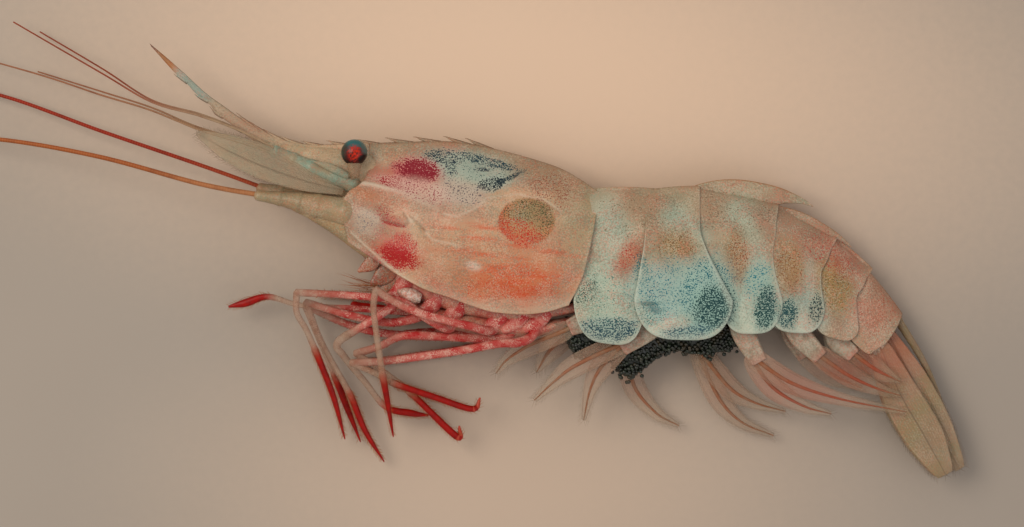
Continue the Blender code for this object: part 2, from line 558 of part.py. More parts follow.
def build_antennae():
    """Stalks, scales and long whips of the second feelers."""
    level = mid(EYE[0])
    for name, side in SIDES.items():
        rise = ANTENNA_END_Y[name] - ANTENNA_ROOT_Y
        points = [(x, ANTENNA_ROOT_Y + rise * share, level + side * ANTENNA_APART) for x, share, _ in ANTENNA]
        limb(f"antenna_{name}", points, [row[2] for row in ANTENNA], TAN, sides=10, start=(-1, 0, 0))
        scale = [(x, y, level + side * apart, wide, high) for x, y, apart, wide, high in SCALE]
        vane(f"antennal_scale_{name}", scale, OLIVE, roll=side * SCALE_ROLL)
        points = ANTENNA_WHIPS[name]
        radii = np.interp(range(len(points)), (0, 2, len(points) - 1), ANTENNA_WHIP_RADII)
        limb(f"antenna_whip_{name}", points, radii, RED, steps=3, sides=6)


def sternum_y(x, apart):
    """Y of the underside of the sternum at that distance from the middle plane."""
    rows = np.array(STERNUM)
    bottom, half = (float(np.interp(x, rows[:, 0], rows[:, column])) for column in (1, 2))
    centre = (groove_top(x) - STERNUM_GAP + bottom) / 2
    share = max(1 - (abs(apart) / half) ** 4, 0) ** 0.25
    return centre - (centre - bottom) * share


def build_sternum():
    """Underside of the thorax, from the mouthparts to the last legs, with a rounded square section."""
    rings = []
    rows = np.array(STERNUM)
    for x in np.linspace(rows[0, 0], rows[-1, 0], STERNUM_RINGS):
        half = float(np.interp(x, rows[:, 0], rows[:, 2]))
        top, bottom = groove_top(x) - STERNUM_GAP, sternum_y(x, 0)
        ring = []
        for k in range(12):
            a, b = math.cos(math.tau * k / 12), math.sin(math.tau * k / 12)
            square = (a ** 4 + b ** 4) ** 0.25
            ring.append((x, (top + bottom) / 2 + (top - bottom) / 2 * b / square, mid(x) + half * a / square))
        rings.append(ring)
    skin("sternum", rings, PINK)


def leg_root(x, side):
    """Start of a leg just under the sternum."""
    lowest = min(sternum_y(x + step, LEG_APART) for step in (-ROOT_RADIUS, 0, ROOT_RADIUS))
    return (x, lowest - GAP, mid(x) + side * LEG_APART)


def knee_start(before, knee, after):
    """Start of the lower part of a leg, clear of the end of the upper part however far the knee is bent."""
    upper = (Vector(knee) - Vector(before)).normalized()
    lower = (Vector(after) - Vector(knee)).normalized()
    fold = lower.dot(upper)
    aside = (lower - upper * fold).normalized()
    return tuple(Vector(knee) + upper * 0.35 + aside * (0.8 + 0.42 * max(-fold, 0)))


def build_legs():
    """Legs and outer mouth legs: one node where short, or an upper and a lower node that meet at the knee."""
    for name, (x, side, upper, lower, whole) in LEGS.items():
        points = (leg_root(x, side), *upper)
        if whole:
            limb(name, points, whole, RED, start=(0, -1, 0))
            continue
        radii = np.interp(range(len(points)), (0, 1, len(points) - 1), UPPER_RADII)
        limb(f"{name}_upper", points, radii, PINK, start=(0, -1, 0))
        points = (knee_start(*points[-2:], lower[0]), *lower)
        radii = np.interp(range(len(points)), (0, 1, len(points) - 1), LOWER_RADII)
        limb(f"{name}_lower", points, radii, RED)


def joint_line(index, share, shift):
    """Point on the line between two segments, moved towards the tail by shift."""
    top, bottom, _ = JOINTS[index]
    line = Vector((bottom[0] - top[0], bottom[1] - top[1])).normalized()
    x, y = lerp(top, bottom, share)
    return x - line.y * shift, y + line.x * shift


def segment_half(index, share):
    """Half width of a segment at that share of its length."""
    return JOINTS[index][2] + (JOINTS[index + 1][2] - JOINTS[index][2]) * share


def segment_ring(index, share):
    """Ring of an abdomen segment, from its front (0) to its rear (1)."""
    arch = ARCHES[index] * 4 * share * (1 - share)
    half = []
    for depth, wide in zip(SEGMENT_DEPTHS, SEGMENT_SHARES):
        front = joint_line(index, depth, GAP / 2)
        rear = joint_line(index + 1, depth, -GAP / 2)
        x, y = lerp(front, rear, share)
        half.append((x, y + arch * (1 - depth), segment_half(index, share) * wide))
    left = [(x, y, mid(x) + w) for x, y, w in half]
    right = [(x, y, mid(x) - w) for x, y, w in half[:0:-1]]
    x, y, _ = half[-1]
    return left + [(x, y + 0.1, mid(x))] + right


def flap_point(index, u, v):
    """Point of a side flap in the side view: u from front to rear, v from top to bottom."""
    front, rear, lobe = FLAPS[index]
    corners = []
    for edge in (front, rear):
        first, second, last = edge
        if v < FLAP_SHOULDER:
            corners.append(lerp(first, second, v / FLAP_SHOULDER))
        else:
            corners.append(lerp(second, last, (v - FLAP_SHOULDER) / (1 - FLAP_SHOULDER)))
    x, y = lerp(corners[0], corners[1], u)
    round_off = (1 - abs(2 * u - 1) ** 2.6) ** 0.7
    return x, y - lobe * round_off * max(v - FLAP_SHOULDER, 0) / (1 - FLAP_SHOULDER)


def flap_depth(index, x, y):
    """Share of the depth of a segment at a point of the side view."""
    front, rear = JOINTS[index], JOINTS[index + 1]
    share = min(max((x - front[0][0]) / (rear[0][0] - front[0][0]), 0), 1)
    top, bottom = lerp(front[0], rear[0], share)[1], lerp(front[1], rear[1], share)[1]
    return (top - y) / (top - bottom), share


def build_flap(index, side):
    """Side flap of a segment: a curved plate whose top edge is sunk in the segment."""
    columns, rows = FLAP_COLUMNS, FLAP_ROWS
    lift = PROUD if index == 1 else FLUSH
    outer, inner = [], []
    for i in range(rows):
        for j in range(columns):
            u, v = j / (columns - 1), i / (rows - 1)
            x, y = flap_point(index, u, v)
            depth, share = flap_depth(index, x, y)
            half = segment_half(index, share) * float(np.interp(depth, FLAP_DEPTHS, FLAP_SHARES))
            half += float(np.interp(v, *lift))
            outer.append((x, y, mid(x) + side * half))
            inner.append((x, y, mid(x) + side * (half - FLAP_THICKNESS)))
    shift = len(outer)
    faces = []
    for i in range(rows - 1):
        for j in range(columns - 1):
            a = i * columns + j
            b, c, d = a + 1, a + columns, a + columns + 1
            faces += [(a, b, d), (a, d, c)]
            faces += [(a + shift, d + shift, b + shift), (a + shift, c + shift, d + shift)]
    loop = list(range(columns))
    loop += [i * columns + columns - 1 for i in range(1, rows)]
    loop += [(rows - 1) * columns + j for j in range(columns - 2, -1, -1)]
    loop += [i * columns for i in range(rows - 2, 0, -1)]
    for a, b in zip(loop, loop[1:] + loop[:1]):
        faces += [(a, a + shift, b), (b, a + shift, b + shift)]
    return make("flap", outer + inner, faces, TEAL)


def build_keel(number):
    """Keel on the back of a segment that runs out behind it in a spine."""
    thick, thin = KEEL_HALF
    route = [(x, y, mid(x), high, thick if high > 0.2 else thin) for x, y, high in smooth(KEELS[number], 2)]
    return sweep("keel", route, round_section(6), PINK)


def build_abdomen():
    """Six segments, with side flaps on the first five and keels on the third and fourth."""
    for index in range(6):
        rings = [segment_ring(index, k / (SEGMENT_RINGS - 1)) for k in range(SEGMENT_RINGS)]
        extras = []
        if index < len(FLAPS):
            extras = [build_flap(index, side) for side in SIDES.values()]
        if index + 1 in KEELS:
            extras.append(build_keel(index + 1))
        fuse(skin(f"abdomen_{index + 1}", rings, TEAL if index < 3 else PINK), extras)


def tail_blade(root, points, side):
    """Route of a tail blade from its root, just behind the last segment."""
    share, apart, wide, high = root
    x, y = joint_line(6, share, GAP)
    rows = [(x, y, mid(x) + side * apart, wide, high)]
    return rows + [(x, y, TAIL_Z + side * apart, wide, high) for x, y, apart, wide, high in points]


def build_tail():
    """Telson, and on each side an inner and an outer blade."""
    top, bottom, _ = JOINTS[6]
    behind = Vector((top[1] - bottom[1], bottom[0] - top[0], 0)).normalized()
    sweep("telson", smooth(tail_blade(TELSON_ROOT, TELSON, 1), 2), round_section(8), PINK, start=behind)
    for name, side in SIDES.items():
        for kind, (root, points) in UROPODS.items():
            vane(f"uropod_{kind}_{name}", tail_blade(root, points, side), OLIVE, start=behind)


def belly(x):
    """Y of the underside of the abdomen at x."""
    rows = np.array([bottom for _, bottom, _ in JOINTS])
    return float(np.interp(x, rows[:, 0], rows[:, 1]))


def build_pleopods():
    """Swimming legs: a flat stalk under the belly and one or two tapering blades fused to its end."""
    knee_share, drop, knee_half, knee_thick = STALK_KNEE
    for name, ((x, z), foot, blades) in PLEOPODS.items():
        root = (x, min(belly(x - PLEOPOD_HALF), belly(x + PLEOPOD_HALF)) - GAP, z)
        knee = lerp((root[0], root[1] - drop, root[2]), foot, knee_share)
        route = smooth([(*root, PLEOPOD_HALF, 0.42), (*knee, knee_half, knee_thick), (*foot, 0.85, 0.42)], 2)
        stalk = sweep(f"pleopod{name}", route, round_section(8), PINK, start=(0, -1, 0))
        inside = lerp(knee, foot, 0.8)
        branches = []
        for points in blades:
            points = (inside, *points)
            count = len(points)
            wide = np.interp(range(count), (0, 2, count - 1), BLADE_HALF)
            branch = smooth([(*point, half, BLADE_THICK) for point, half in zip(points, wide)], 2)
            branches.append(sweep("branch", branch, round_section(6), RED))
        fuse(stalk, branches)


def build_eggs():
    """Mass of eggs under the belly, lumpy where the eggs bunch."""
    rings = []
    for k, (x, low) in enumerate(smooth(EGGS, 2)):
        top = min(belly(x) - 0.5, -10.3 if x < 10.5 else 0)
        ring = []
        for j in range(EGG_SIDES):
            angle = math.tau * j / EGG_SIDES
            lump = 1 + 0.07 * math.cos(2.1 * k + 3 * angle)
            ring.append((x, (top + low) / 2 + (top - low) / 2 * math.sin(angle),
                         mid(x) + EGG_HALF * lump * math.cos(angle)))
        rings.append(ring)
    skin("egg_mass", rings, EGG)


def main():
    """Build the shrimp."""
    clear_scene()
    build_carapace()
    build_rostrum()
    build_eyes()
    build_antennules()
    build_antennae()
    build_sternum()
    build_legs()
    build_abdomen()
    build_tail()
    build_pleopods()
    build_eggs()


main()
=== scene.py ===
"""Looks of an armed nylon shrimp that lies on its right side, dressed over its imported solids.

The head points to -X, the back to +Y and the left side up, to +Z. Shapes are worked out in millimetres and
become metres when a mesh is made. Every shape is a grid of points, or a section carried along a route.
"""
from __future__ import annotations

import logging
import math
from dataclasses import dataclass, field
from enum import Enum, IntEnum
from functools import cache

import bmesh
import bpy
import numpy as np
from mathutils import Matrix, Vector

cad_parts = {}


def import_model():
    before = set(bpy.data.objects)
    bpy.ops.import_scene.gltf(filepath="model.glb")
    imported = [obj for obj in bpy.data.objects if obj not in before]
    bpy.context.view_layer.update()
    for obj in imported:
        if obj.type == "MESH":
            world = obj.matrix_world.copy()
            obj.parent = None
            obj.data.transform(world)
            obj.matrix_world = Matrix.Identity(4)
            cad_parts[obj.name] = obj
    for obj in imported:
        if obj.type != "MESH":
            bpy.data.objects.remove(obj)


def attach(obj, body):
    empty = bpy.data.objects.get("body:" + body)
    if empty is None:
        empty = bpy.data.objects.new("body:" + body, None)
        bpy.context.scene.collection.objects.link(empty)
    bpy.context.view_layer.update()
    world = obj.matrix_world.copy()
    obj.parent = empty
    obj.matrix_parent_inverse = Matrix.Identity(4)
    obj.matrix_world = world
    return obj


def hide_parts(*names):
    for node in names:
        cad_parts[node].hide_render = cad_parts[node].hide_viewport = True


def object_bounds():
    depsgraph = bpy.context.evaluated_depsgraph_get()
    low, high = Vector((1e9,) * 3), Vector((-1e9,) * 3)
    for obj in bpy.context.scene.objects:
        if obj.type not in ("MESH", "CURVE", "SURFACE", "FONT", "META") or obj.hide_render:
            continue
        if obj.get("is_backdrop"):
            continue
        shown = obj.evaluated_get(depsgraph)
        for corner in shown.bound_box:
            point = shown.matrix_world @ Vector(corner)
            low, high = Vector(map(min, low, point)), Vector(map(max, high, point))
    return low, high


LOG = logging.getLogger("shrimp")
Array = np.ndarray
Point = tuple[float, ...]
Rows = tuple[Point, ...]
Tint = tuple[int, int, int]
Socket = bpy.types.NodeSocket
Material = bpy.types.Material

MM = 0.001
TO_MM = 1000.0
UP = np.array((0.0, 0.0, 1.0))
GAP = 0.3
SEED = 41
ROOT = "root"
CORNERS = ((0, 0), (0, 1), (1, 1), (1, 0))

# Height of the body's middle plane above the floor, from the head to the tail
MID_X = (12.8, 25, 31, 39, 44, 50, 55)
HEAD_LEVEL = 5.9
MID_Z = (HEAD_LEVEL, 5.4, 5.15, 4.65, 4.1, 3.4, 2.75)


class Side(IntEnum):
    """Side of the animal, and its direction along Z."""

    LEFT = 1
    RIGHT = -1

    @property
    def word(self) -> str:
        """Name of the side as the nodes have it."""
        return self.name.lower()


class Weave(Enum):
    """How a patch of pigment is laid on the shell."""

    WASH = 0.0
    FINE = 0.15
    COARSE = 0.18


def unit(vectors: Array) -> Array:
    """Vectors at length one."""
    return vectors / np.maximum(np.linalg.norm(vectors, axis=-1, keepdims=True), 1e-12)


def ease(x: Array | float, knots: Point, values: Point | Array) -> Array:
    """Smooth curve through knots that never overshoots them.

    Each span is a cubic whose end slopes are the harmonic mean of the slopes beside it, or zero at a peak.

    Args:
        x: Where the curve is read.
        knots: Places of the knots, rising.
        values: Value at each knot, or an array with one such row for each knot and the shape of x after it.

    Returns:
        The curve's values, in the shape of x.
    """
    x, places = np.asarray(x, float), np.asarray(knots, float)
    rows = np.asarray(values, float)
    if rows.ndim == 1:
        rows = rows.reshape((-1,) + (1,) * x.ndim) * np.ones((1,) + x.shape)
    rise = np.diff(rows, axis=0) / np.diff(places).reshape((-1,) + (1,) * x.ndim)
    same = rise[1:] * rise[:-1] > 0
    slope = np.zeros_like(rows)
    slope[1:-1] = np.where(same, 2 * rise[1:] * rise[:-1] / np.where(same, rise[1:] + rise[:-1], 1), 0)
    slope[0], slope[-1] = rise[0], rise[-1]
    span = np.clip(np.searchsorted(places, x, side="right") - 1, 0, len(places) - 2)
    width = places[span + 1] - places[span]
    t = np.clip((x - places[span]) / width, 0, 1)
    a, b = (np.take_along_axis(rows, (span + k)[None], 0)[0] for k in (0, 1))
    c, d = (np.take_along_axis(slope, (span + k)[None], 0)[0] for k in (0, 1))
    bend = (t ** 3 - 2 * t ** 2 + t) * width * c + (t ** 3 - t ** 2) * width * d
    return (2 * t ** 3 - 3 * t ** 2 + 1) * a + (3 * t ** 2 - 2 * t ** 3) * b + bend


def mid(x: Array | float) -> Array:
    """Height of the middle plane at x."""
    return np.interp(x, MID_X, MID_Z)


def step(x: Array, low: float, high: float) -> Array:
    """Smooth step from 0 at low to 1 at high."""
    t = np.clip((x - low) / (high - low), 0, 1)
    return t * t * (3 - 2 * t)


def bell(x: Array, middle: float, width: float) -> Array:
    """Bell of height one about a middle."""
    return np.exp(-((x - middle) / width) ** 2)


def smooth(points: Rows | Array, steps: int) -> Array:
    """Catmull-Rom curve through the points.

    Args:
        points: Rows of numbers, the first three of them a place.
        steps: Pieces to each span.

    Returns:
        Rows of the curve.
    """
    rows = np.array(points, float)
    ends = np.vstack([2 * rows[0] - rows[1], rows, 2 * rows[-1] - rows[-2]])
    p0, p1, p2, p3 = (ends[k:len(ends) - 3 + k, None] for k in range(4))
    t = (np.arange(steps) / steps)[None, :, None]
    curve = 2 * p1 + (p2 - p0) * t + (2 * p0 - 5 * p1 + 4 * p2 - p3) * t ** 2
    curve = 0.5 * (curve + (3 * p1 - p0 - 3 * p2 + p3) * t ** 3)
    return np.vstack([curve.reshape(-1, rows.shape[1]), rows[-1]])


def track(x: Array, y: Array, path: Rows) -> Array:
    """Distance from points of the side view to a bent line, the least of the distances to its pieces."""
    ends = np.array(path, float)
    start, run = ends[:-1], np.diff(ends, axis=0)
    away = np.stack([x[..., None] - start[:, 0], y[..., None] - start[:, 1]], -1)
    share = np.clip((away * run).sum(-1) / (run ** 2).sum(-1), 0, 1)
    return np.linalg.norm(away - share[..., None] * run, axis=-1).min(-1)


def distance(rows: Array) -> Array:
    """Distance of each row from the first, along rows that start with a place."""
    return np.concatenate([[0], np.cumsum(np.linalg.norm(np.diff(rows[:, :3], axis=0), axis=1))])


def at_shares(rows: Array, shares: Array) -> Array:
    """Rows read at shares of their whole length."""
    run = distance(rows)
    return np.stack([np.interp(shares * run[-1], run, column) for column in rows.T], -1)


def around(count: int) -> Array:
    """Even turns round a circle, in radians."""
    return np.linspace(0, math.tau, count, endpoint=False)


def round_section(count: int) -> Array:
    """Circle of unit size as (across, up) pairs."""
    turn = around(count)
    return np.stack([np.cos(turn), np.sin(turn)], -1)


def blade_section(count: int, ribs: Rows = ((0, 0.65, 0.09), (0.42, 0.3, 0.06), (-0.42, 0.3, 0.06))) -> Array:
    """Flat lens with raised ribs.

    Args:
        count: Points round the section.
        ribs: Place across, height and width of each rib.

    Returns:
        (across, up) pairs, where up is a lens plus a bell for each rib.
    """
    turn = around(count)
    across, rise = np.cos(turn), np.abs(np.sin(turn))
    height = 0.7 * rise ** 0.7
    for place, tall, wide in ribs:
        height = height + tall * bell(across, place, wide) * np.minimum(rise * 4, 1)
    return np.stack([across, np.sign(np.sin(turn)) * height], -1)


def beside(side: Side, level: float, *rows: Point) -> list[Point]:
    """Rows whose third number, the distance from the middle plane, becomes a height on that side of it."""
    return [(x, y, level + side * apart, *sizes) for x, y, apart, *sizes in rows]


def between_edges(edges: tuple[Rows, Rows], stations: int, columns: int) -> tuple[Array, Array, Array, Array]:
    """Grid of a flat loop between an upper and a lower edge.

    The depth below the upper edge is half of one less the cosine of the turn, 0 above and 1 below.

    Returns:
        Shares along the edges, turns, depths, and the grid's places in the side view.
    """
    share, turn = np.linspace(0, 1, stations), around(columns)
    top, bottom = (at_shares(smooth(edge, 6), share) for edge in edges)
    depth = (1 - np.cos(turn)) / 2
    return share, turn, depth, top[:, None] + (bottom - top)[:, None] * depth[None, :, None]


def random_about(source: np.random.Generator, count: int, size: float) -> Array:
    """Random vectors about zero with that spread."""
    return source.normal(0, size, (count, 3))


def triangles(corners: Array) -> Array:
    """Faces of three corners, with -1 in the fourth place."""
    return np.hstack([corners, np.full((len(corners), 1), -1)])


@dataclass
class Surface:
    """A mesh in the making, in millimetres: faces of four points, or three and -1, and marks on them."""

    points: Array
    faces: Array
    uv: Array
    marks: dict[str, Array] = field(default_factory=dict)
    layers: Array | int = 0

    def outward(self) -> "Surface":
        """Turn the faces outwards, by the sign of the volume inside."""
        a, b, c, d = (self.points - self.points.mean(0))[self.faces].transpose(1, 0, 2)
        d = np.where(self.faces[:, 3:] < 0, c, d)
        if np.einsum("ij,ij->", a, np.cross(b, c) + np.cross(c, d)) < 0:
            self.faces, self.uv = self.faces[:, ::-1], self.uv[:, ::-1]
        return self

    @classmethod
    def tube(cls, rings: Array, marks: dict[str, Array] | None = None, layer: int = 0) -> "Surface":
        """Closed surface over rings of points, with a fan to the middle of each end ring.

        Args:
            rings: Points, (stations, columns, 3).
            marks: Values on the points, each (stations, columns).
            layer: Index of the finish.

        Returns:
            The surface, its U along the stations and its V round them.
        """
        rows, cols = rings.shape[:2]
        i, j = (part.ravel() for part in np.mgrid[0:rows - 1, 0:cols])
        walls = np.stack([(i + di) * cols + (j + dj) % cols for di, dj in CORNERS], 1)
        wall_uv = np.stack([np.stack([(i + di) / (rows - 1), (j + dj) / cols], -1) for di, dj in CORNERS], 1)
        near, hub = np.arange(cols), np.full(cols, rows * cols)
        after, last = (near + 1) % cols, (rows - 1) * cols
        fans = triangles(np.hstack([(after, near, hub), (last + near, last + after, hub + 1)]).T)
        fan_uv = np.zeros((len(fans), 4, 2))
        fan_uv[cols:, :, 0] = 1
        fan_uv[:, :, 1] = np.tile(near / cols, 2)[:, None]
        points = np.vstack([rings.reshape(-1, 3), rings[0].mean(0), rings[-1].mean(0)])
        kept = {name: np.concatenate([value.ravel(), [value[0].mean(), value[-1].mean()]])
                for name, value in (marks or {}).items()}
        return cls(points, np.vstack([walls, fans]), np.vstack([wall_uv, fan_uv]), kept, layer).outward()

    @classmethod
    def slab(cls, outer: Array, inner: Array, marks: dict[str, Array]) -> "Surface":
        """Closed plate between two grids of points that match, with a strip round its four edges."""
        rows, cols = outer.shape[:2]
        i, j = (part.ravel() for part in np.mgrid[0:rows - 1, 0:cols - 1])
        top = np.stack([(i + di) * cols + j + dj for di, dj in CORNERS], 1)
        loop = np.concatenate([np.arange(cols), np.arange(1, rows) * cols + cols - 1,
                               (rows - 1) * cols + np.arange(cols - 2, -1, -1),
                               np.arange(rows - 2, 0, -1) * cols])
        after, under = np.roll(loop, -1), rows * cols
        strip = np.stack([after, loop, loop + under, after + under], 1)
        faces = np.vstack([top, top[:, ::-1] + under, strip])
        uv = np.stack([faces % under // cols / (rows - 1), faces % under % cols / (cols - 1)], -1)
        kept = {name: np.tile(value.ravel(), 2) for name, value in marks.items()}
        return cls(np.vstack([outer.reshape(-1, 3), inner.reshape(-1, 3)]), faces, uv, kept).outward()

    @classmethod
    def join(cls, surfaces: list["Surface"]) -> "Surface":
        """One surface of several, whose missing marks are zero."""
        names = sorted({name for part in surfaces for name in part.marks})
        shifts = np.cumsum([0] + [len(part.points) for part in surfaces[:-1]])
        marks = {name: np.concatenate([part.marks.get(name, np.zeros(len(part.points))) for part in surfaces])
                 for name in names}
        return cls(np.vstack([part.points for part in surfaces]),
                   np.vstack([np.where(part.faces < 0, -1, part.faces + shift)
                              for part, shift in zip(surfaces, shifts)]),
                   np.vstack([part.uv for part in surfaces]), marks,
                   np.concatenate([np.zeros(len(part.faces), int) + part.layers for part in surfaces]))

    def mesh(self, name: str, uv_name: str) -> bpy.types.Mesh:
        """Blender mesh of the surface in metres, none of it below the floor, shaded smooth."""
        made = bpy.data.meshes.new(name)
        points = self.points * MM
        points[:, 2] = np.maximum(points[:, 2], 0)
        kept = self.faces >= 0
        sizes = kept.sum(1)
        made.vertices.add(len(points))
        made.vertices.foreach_set("co", points.ravel())
        made.loops.add(int(sizes.sum()))
        made.loops.foreach_set("vertex_index", self.faces[kept].astype(np.int32))
        made.polygons.add(len(sizes))
        made.polygons.foreach_set("loop_start", (np.cumsum(sizes) - sizes).astype(np.int32))
        made.polygons.foreach_set("material_index", self.layers.astype(np.int32))
        made.update(calc_edges=True)
        made.uv_layers.new(name=uv_name).data.foreach_set("uv", self.uv[kept].ravel())
        for mark, values in self.marks.items():
            made.attributes.new(mark, "FLOAT", "POINT").data.foreach_set("value", values.astype(np.float32))
        made.validate()
        made.shade_smooth()
        return made


class Course:
    """A smoothed route of places with half sizes, and the directions across and up at each station."""

    def __init__(self, points: Rows | Array, steps: int, roll: float = 0.0,
                 tips: tuple[float, float] = (0.0, 1.0)) -> None:
        """Smooth the route and round its ends.

        Args:
            points: Rows of x, y, z, half width and half height.
            steps: Pieces to each span; 0 keeps the points as they are.
            roll: Turn of the section about the route, in radians.
            tips: How far the ends are rounded, as a share of the half size there.
        """
        rows = smooth(points, steps) if steps else np.array(points, float)
        ahead = unit(np.gradient(rows[:, :3], axis=0))
        for last, amount in enumerate(tips):
            if amount:
                rows, ahead = self.rounded(rows, ahead, bool(last), amount)
        self.rows, self.ahead = rows, ahead
        across = unit(np.cross(UP, ahead))
        height = unit(np.cross(ahead, across))
        self.across = across * math.cos(roll) + height * math.sin(roll)
        self.height = height * math.cos(roll) - across * math.sin(roll)
        self.run = distance(rows)

    @staticmethod
    def rounded(rows: Array, ahead: Array, last: bool, amount: float) -> tuple[Array, Array]:
        """Rows and directions with a round end: places go on by the sine, sizes shrink by the cosine."""
        turn = np.array((0.45, 0.85, 1.2, 1.5))[:, None]
        row, way = (rows[-1], ahead[-1]) if last else (rows[0], -ahead[0])
        small = min(row[3], row[4]) * amount
        added = np.hstack([row[:3] + way * small * np.sin(turn), row[3:] * np.cos(turn)])
        ways = np.repeat(ahead[-1:] if last else ahead[:1], 4, 0)
        if last:
            return np.vstack([rows, added]), np.vstack([ahead, ways])
        return np.vstack([added[::-1], rows]), np.vstack([ways, ahead])

    @property
    def share(self) -> Array:
        """Share of the route's length at each station."""
        return self.run / self.run[-1]

    def at(self, across: Array | float, height: Array | float) -> Array:
        """Places beside the stations, at shares of the half sizes."""
        wide = np.asarray(across) * self.rows[:, 3]
        high = np.asarray(height) * self.rows[:, 4]
        return self.rows[:, :3] + self.across * wide[:, None] + self.height * high[:, None]

    def rings(self, section: Array) -> Array:
        """Rings of the section at each station, (stations, columns, 3)."""
        wide = section[None, :, 0, None] * self.rows[:, None, None, 3]
        high = section[None, :, 1, None] * self.rows[:, None, None, 4]
        return self.rows[:, None, :3] + self.across[:, None] * wide + self.height[:, None] * high

    def tube(self, section: Array, layer: int = 0, **marks: Array) -> Surface:
        """Closed tube of the section, marked with the distance along it and the place across it.

        Args:
            section: (across, up) pairs.
            layer: Index of the finish.
            marks: More marks, one value to a station.

        Returns:
            The surface.
        """
        full = np.ones((len(self.rows), len(section)))
        kept = {name: full * value[:, None] for name, value in marks.items()}
        kept["run"] = full * self.run[:, None]
        kept["across"] = full * section[None, :, 0]
        return Surface.tube(self.rings(section), kept, layer)


def grid_normals(points: Array) -> Array:
    """Unit normals of a grid of points, from the differences along its rows and columns."""
    return unit(np.cross(np.gradient(points, axis=0), np.gradient(points, axis=1)))


def bristles(roots: Array, aims: Array, lengths: Array, thick: float, uv: Array,
             droop: float = 0.15) -> Surface:
    """Fine tapering hairs, each three-sided with a bend half way.

    The UV of each hair is a patch about 0.003 across at its root's place on the unwrap of what it grows from.

    Args:
        roots: Where the hairs start, (hairs, 3).
        aims: Their directions.
        lengths: Their lengths.
        thick: Radius at the root.
        uv: Their places on the unwrap, (hairs, 2).
        droop: How far the tip sinks towards the floor, as a share of the length.

    Returns:
        The hairs as one surface.
    """
    count = len(roots)
    aims = unit(aims)
    side = unit(np.cross(aims, UP + 0.3 * aims[:, ::-1]))
    over = np.cross(aims, side)
    turn = np.arange(3) * math.tau / 3
    spin = side[:, None] * np.cos(turn)[None, :, None] + over[:, None] * np.sin(turn)[None, :, None]
    reach = lengths[:, None, None]
    base = roots[:, None] + spin * thick
    middle = roots[:, None] + aims[:, None] * reach * 0.55 + spin * thick * 0.6
    tip = roots[:, None] + aims[:, None] * reach - UP * reach * droop
    points = np.concatenate([base, middle, tip], 1).reshape(-1, 3)
    first = (np.arange(count) * 7)[:, None, None]
    walls = np.array([(k, (k + 1) % 3, 3 + (k + 1) % 3, 3 + k) for k in range(3)])
    ends = np.array([(3 + k, 3 + (k + 1) % 3, 6) for k in range(3)] + [(2, 1, 0)])
    faces = np.vstack([(first + walls).reshape(-1, 4), triangles((first + ends).reshape(-1, 3))])
    patch = np.stack([np.cos(np.arange(7) * 0.9), np.sin(np.arange(7) * 0.9)], -1) * 0.0014
    return Surface(points, faces, (uv[:, None] + patch[None]).reshape(-1, 2)[faces])


def linear(tint: Tint) -> tuple[float, float, float, float]:
    """Colour of 0 to 255 parts as the linear colour that a shader takes."""
    parts = [part / 255 for part in tint]
    return (*(part / 12.92 if part <= 0.04045 else ((part + 0.055) / 1.055) ** 2.4 for part in parts), 1.0)


